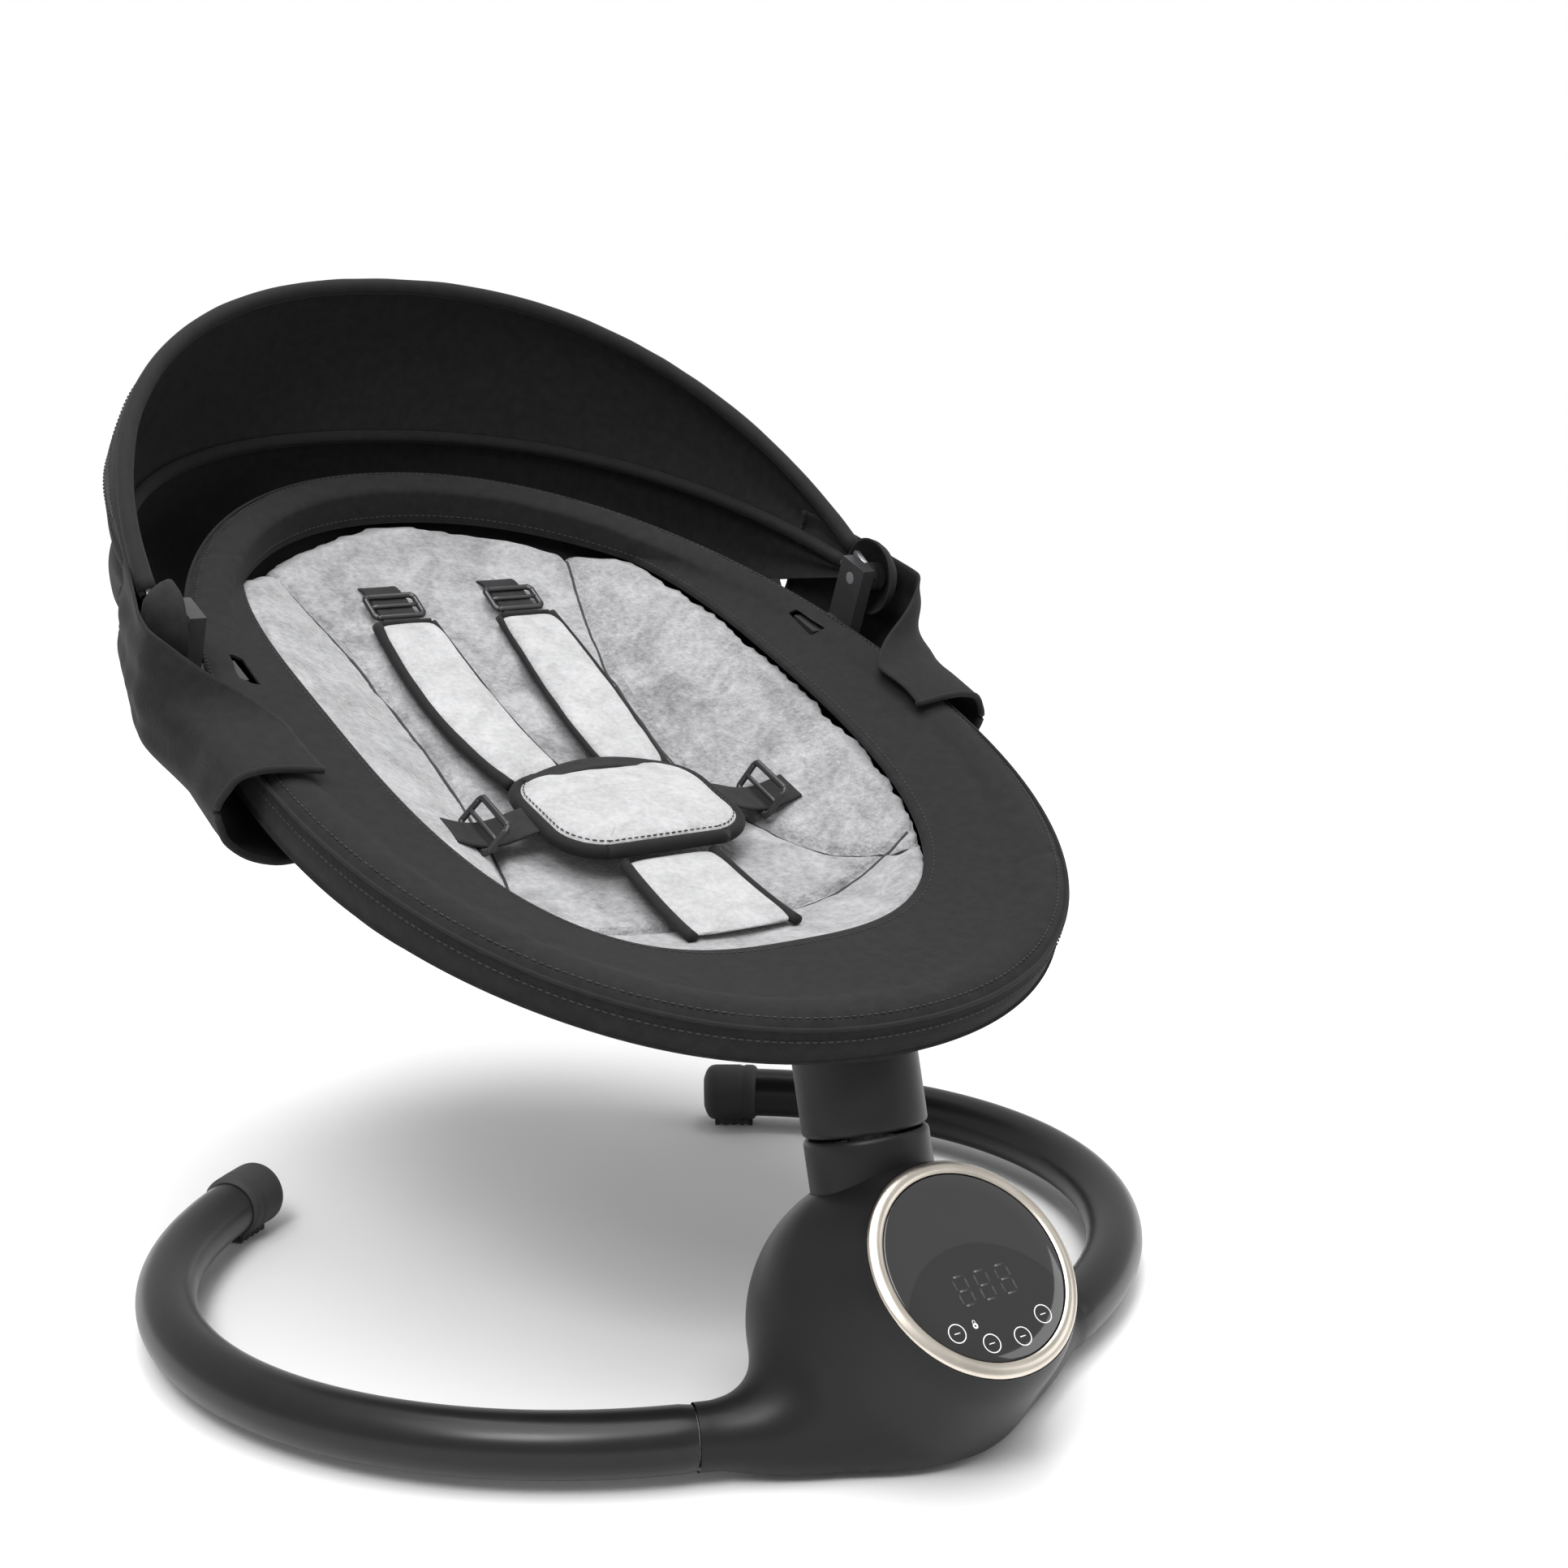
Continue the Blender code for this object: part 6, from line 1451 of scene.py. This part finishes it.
def build_pockets():
    """Cloth wrapped over the rim round each pivot, opening towards the head."""
    places = np.linspace(*POCKET_SPAN, 80)
    sections = []
    for s in places:
        share = ease(s, *POCKET_OPENING)
        points = np.array(CLOSED_POCKET) * (1 - share) + np.array(OPEN_POCKET) * share
        sections.append(smooth_line(points, 46))
    sections = np.array(sections)
    for side, word in ((-1, "left"), (1, "right")):
        x = side * (seam_half_width(places)[:, None] + sections[..., 0])
        grid = np.stack([x, np.broadcast_to(places[:, None], x.shape), sections[..., 1]], axis=-1)
        wrinkle = 0.0014 * ripple(grid, (0.05, 0.022, 0.022), 15.0 + side)
        wrinkle = wrinkle + 0.0009 * np.sin(grid[..., 2] * 260 + 40 * grid[..., 1]) + POCKET_STAND_OFF
        grid[..., 0] += side * wrinkle * ease(sections[..., 1], -0.047, -0.02)
        grid[..., 2] += 0.4 * wrinkle
        if side < 0:
            grid = grid[:, ::-1]
        cloth = cloth_sheet(f"{word}_pocket_cloth", placed(grid, SEAT), POCKET_THICKNESS)
        done(cloth, "seat", finished("black_fabric"), "black_fabric", f"{word}_pocket")
        trims = [section_piece("cuff", placed(grid[row], SEAT), round_section(CUFF_RADIUS, 12), SEAT_UP)
                 for row in (0, -1)]
        done(merged(f"{word}_pocket_hem", trims), "seat", finished("fabric_hem"), "black_fabric")


# ---- pieces that keep their mechanical shape -----------------------------------------------------
def build_hardware():
    """Moulded, turned and rubber pieces keep their shape and get their finish."""
    for part in frame["record"]["subparts"]:
        node = frame["nodes"].get(part["node"])
        if node is None:
            continue
        for holder in node.material_slots:
            holder.link = "OBJECT"
            holder.material = finished(part["material_slot"])


# ---- stage ---------------------------------------------------------------------------------------
def area_light(name, place, aim, size, power_watts):
    """A soft lamp of this (width, height), turned towards its aim."""
    lamp = bpy.data.lights.new(name, "AREA")
    lamp.shape = "RECTANGLE"
    lamp.size, lamp.size_y = size
    lamp.energy = power_watts
    item = bpy.data.objects.new(name, lamp)
    item.location = place
    item.rotation_euler = (Vector(aim) - Vector(place)).to_track_quat("-Z", "Y").to_euler()
    bpy.context.scene.collection.objects.link(item)


LAMPS = (
    ("key_light", (-1.5, -1.1, 2.2), (0, 0.1, 0.2), (0.9, 0.9), 34),
    ("top_light", (0.3, 0.6, 2.6), (0, 0.2, 0.2), (1.5, 0.8), 30),
    ("fill_light", (2.3, -1.6, 1.3), (0, 0.1, 0.25), (1.4, 1.4), 9),
)
SUN_STRENGTH = 2.0
SUN_SPREAD = math.radians(50)
SUN_TURN = (math.radians(14), math.radians(-10), 0)
SENSOR_WIDTH = 36
LENS = 52.577
CAMERA_PLACE = ((0.8197, 0.1077, -0.5626, -0.65227), (-0.5728, 0.1651, -0.8029, -0.84034),
                (0.0064, 0.9804, 0.1970, 0.53553), (0, 0, 0, 1))


def build_stage():
    """The floor, the even surrounding light, the lamps and the camera."""
    scene = bpy.context.scene
    sizes = scene.swing_sizes
    half = sizes.floor / 2
    xs = np.linspace(-half, half, 9)
    grid = [[(x, y, 0.0) for x in xs] for y in xs]
    floor = mesh_object("studio_floor", np.array(grid).reshape(-1, 3), grid_faces(9, 9), smooth=False)
    pale = scene.swing_colours.floor
    floor.data.materials.append(finish("studio_floor", scaled(pale, 0.99), scaled(pale, 1.01), (0.7, 0.8),
                                       "grain", 0.0001, 0.05, {"Fine": 400.0, "Coarse": 6.0}, wear=UNWORN))
    world = bpy.data.worlds.new("studio_air")
    world.use_nodes = True
    tree = world.node_tree
    tree.nodes["Background"].inputs["Color"].default_value = (1, 1, 1, 1)
    ray = add_node(tree, "ShaderNodeLightPath")
    level = add_node(tree, "ShaderNodeMapRange", {"To Min": sizes.air, "To Max": 1.0})
    joined_up(tree, (ray.outputs["Is Camera Ray"], level.inputs["Value"]),
              (level.outputs[0], tree.nodes["Background"].inputs["Strength"]))
    scene.world = world
    sun = bpy.data.lights.new("even_light", "SUN")
    sun.angle = SUN_SPREAD
    sun.energy = SUN_STRENGTH * sizes.light
    lamp = bpy.data.objects.new("even_light", sun)
    lamp.rotation_euler = SUN_TURN
    scene.collection.objects.link(lamp)
    for name, place, aim, size, watts in LAMPS:
        area_light(name, place, aim, size, watts * sizes.light)
    view = bpy.data.cameras.new("camera")
    view.sensor_width = SENSOR_WIDTH
    view.lens = LENS
    view.clip_start, view.clip_end = 0.05, 50
    camera = bpy.data.objects.new("camera", view)
    camera.matrix_world = Matrix(CAMERA_PLACE)
    scene.collection.objects.link(camera)
    scene.camera = camera
    scene.view_settings.view_transform = "Standard"
    scene.view_settings.look = "None"


# ---- settings ------------------------------------------------------------------------------------
def colour_setting(name, description, default):
    """A colour in the settings."""
    return FloatVectorProperty(name=name, description=description, subtype="COLOR", size=3, min=0, max=1,
                               default=default)


class SwingColours(bpy.types.PropertyGroup):
    """Base colours of the swing's finishes."""

    fabric: colour_setting("Fabric", "Seat cover, canopy and pockets", (0.0105, 0.0103, 0.0112))
    plush: colour_setting("Plush", "Seat pad", (0.235, 0.235, 0.242))
    pad: colour_setting("Harness pads", "Belly, shoulder and crotch pads", (0.370, 0.370, 0.376))
    webbing: colour_setting("Webbing", "Harness straps", (0.0140, 0.0140, 0.0150))
    plastic: colour_setting("Plastic", "Housing and stem", (0.0065, 0.0065, 0.0072))
    paint: colour_setting("Paint", "Legs and seat ring", (0.0065, 0.0065, 0.0072))
    nickel: colour_setting("Panel trim", "Metal ring round the panel", (0.62, 0.57, 0.50))
    glass: colour_setting("Panel glass", "Glass of the control panel", (0.0100, 0.0100, 0.0110))
    floor: colour_setting("Floor", "Studio floor", (0.86, 0.86, 0.86))


class SwingSizes(bpy.types.PropertyGroup):
    """Sizes of the cloth's detail and strengths of the stage."""

    thread: FloatProperty(name="Thread", description="Width of a thread of the black cloth", unit="LENGTH",
                          default=0.0009)
    stitch: FloatProperty(name="Stitch", description="Length from stitch to stitch", unit="LENGTH",
                          default=0.0040)
    groove: FloatProperty(name="Seam depth", description="Depth of the seat pad's sewn seams", unit="LENGTH",
                          default=0.0048)
    floor: FloatProperty(name="Floor", description="Side of the studio floor", unit="LENGTH", default=14.0)
    air: FloatProperty(name="Surrounding light", description="Strength of the studio's even light",
                       subtype="FACTOR", min=0, max=2, default=0.60)
    light: FloatProperty(name="Lamps", description="Strength of the studio's lamps", subtype="FACTOR", min=0,
                         max=4, default=1.0)


# ---- operators and panel -------------------------------------------------------------------------
class SWING_OT_stage(bpy.types.Operator):
    """The floor, the studio light and the camera."""

    bl_idname = "swing.stage"
    bl_label = "Stage"

    def execute(self, context):
        build_stage()
        return {"FINISHED"}


class SWING_OT_base(bpy.types.Operator):
    """The two bent legs and their end caps."""

    bl_idname = "swing.base"
    bl_label = "Legs"

    def execute(self, context):
        build_base()
        return {"FINISHED"}


class SWING_OT_housing(bpy.types.Operator):
    """The moulded housing of the drive."""

    bl_idname = "swing.housing"
    bl_label = "Housing"

    def execute(self, context):
        build_housing()
        return {"FINISHED"}


class SWING_OT_touch_panel(bpy.types.Operator):
    """The trim, the glass and its printed marks."""

    bl_idname = "swing.touch_panel"
    bl_label = "Control panel"

    def execute(self, context):
        build_panel()
        return {"FINISHED"}


class SWING_OT_stem(bpy.types.Operator):
    """The fixed and the swinging half of the stem."""

    bl_idname = "swing.stem"
    bl_label = "Stem"

    def execute(self, context):
        build_stem()
        return {"FINISHED"}


class SWING_OT_seat_cover(bpy.types.Operator):
    """The black cover of the seat with its seams."""

    bl_idname = "swing.seat_cover"
    bl_label = "Seat cover"

    def execute(self, context):
        build_cover()
        return {"FINISHED"}


class SWING_OT_seat_pad(bpy.types.Operator):
    """The padded plush lining, filled by cloth simulation."""

    bl_idname = "swing.seat_pad"
    bl_label = "Seat pad"

    def execute(self, context):
        build_plush()
        return {"FINISHED"}


class SWING_OT_harness(bpy.types.Operator):
    """The straps, slides and padded pieces of the harness."""

    bl_idname = "swing.harness"
    bl_label = "Harness"

    def execute(self, context):
        build_harness()
        return {"FINISHED"}


class SWING_OT_canopy(bpy.types.Operator):
    """The canopy's cloth and its rims."""

    bl_idname = "swing.canopy"
    bl_label = "Canopy"

    def execute(self, context):
        build_canopy()
        return {"FINISHED"}


class SWING_OT_pockets(bpy.types.Operator):
    """The cloth sleeves round the canopy's pivots."""

    bl_idname = "swing.pockets"
    bl_label = "Pivot pockets"

    def execute(self, context):
        build_pockets()
        return {"FINISHED"}


class SWING_OT_hardware(bpy.types.Operator):
    """Finishes of the pieces that keep their mechanical shape."""

    bl_idname = "swing.hardware"
    bl_label = "Hardware"

    def execute(self, context):
        build_hardware()
        return {"FINISHED"}


class SWING_PT_pieces(bpy.types.Panel):
    """The swing's pieces and settings in the sidebar."""

    bl_label = "Baby swing"
    bl_space_type = "VIEW_3D"
    bl_region_type = "UI"
    bl_category = "Swing"

    def draw(self, context):
        for piece in PIECES:
            self.layout.operator(piece.bl_idname)
        for group in (context.scene.swing_colours, context.scene.swing_sizes):
            box = self.layout.box()
            for label in group.__annotations__:
                box.prop(group, label)


PIECES = (
    SWING_OT_stage,
    SWING_OT_base,
    SWING_OT_housing,
    SWING_OT_touch_panel,
    SWING_OT_stem,
    SWING_OT_seat_cover,
    SWING_OT_seat_pad,
    SWING_OT_harness,
    SWING_OT_canopy,
    SWING_OT_pockets,
    SWING_OT_hardware,
)
CLASSES = (SwingColours, SwingSizes) + PIECES + (SWING_PT_pieces,)


def register():
    """Adds the classes and their settings."""
    for each in CLASSES:
        bpy.utils.register_class(each)
    bpy.types.Scene.swing_colours = PointerProperty(type=SwingColours)
    bpy.types.Scene.swing_sizes = PointerProperty(type=SwingSizes)


def unregister():
    """Takes them away again."""
    del bpy.types.Scene.swing_colours
    del bpy.types.Scene.swing_sizes
    for each in reversed(CLASSES):
        bpy.utils.unregister_class(each)


def main():
    """Builds every piece."""
    register()
    for piece in PIECES:
        family, name = piece.bl_idname.split(".")
        getattr(getattr(bpy.ops, family), name)()


if __name__ == "__main__":
    main()
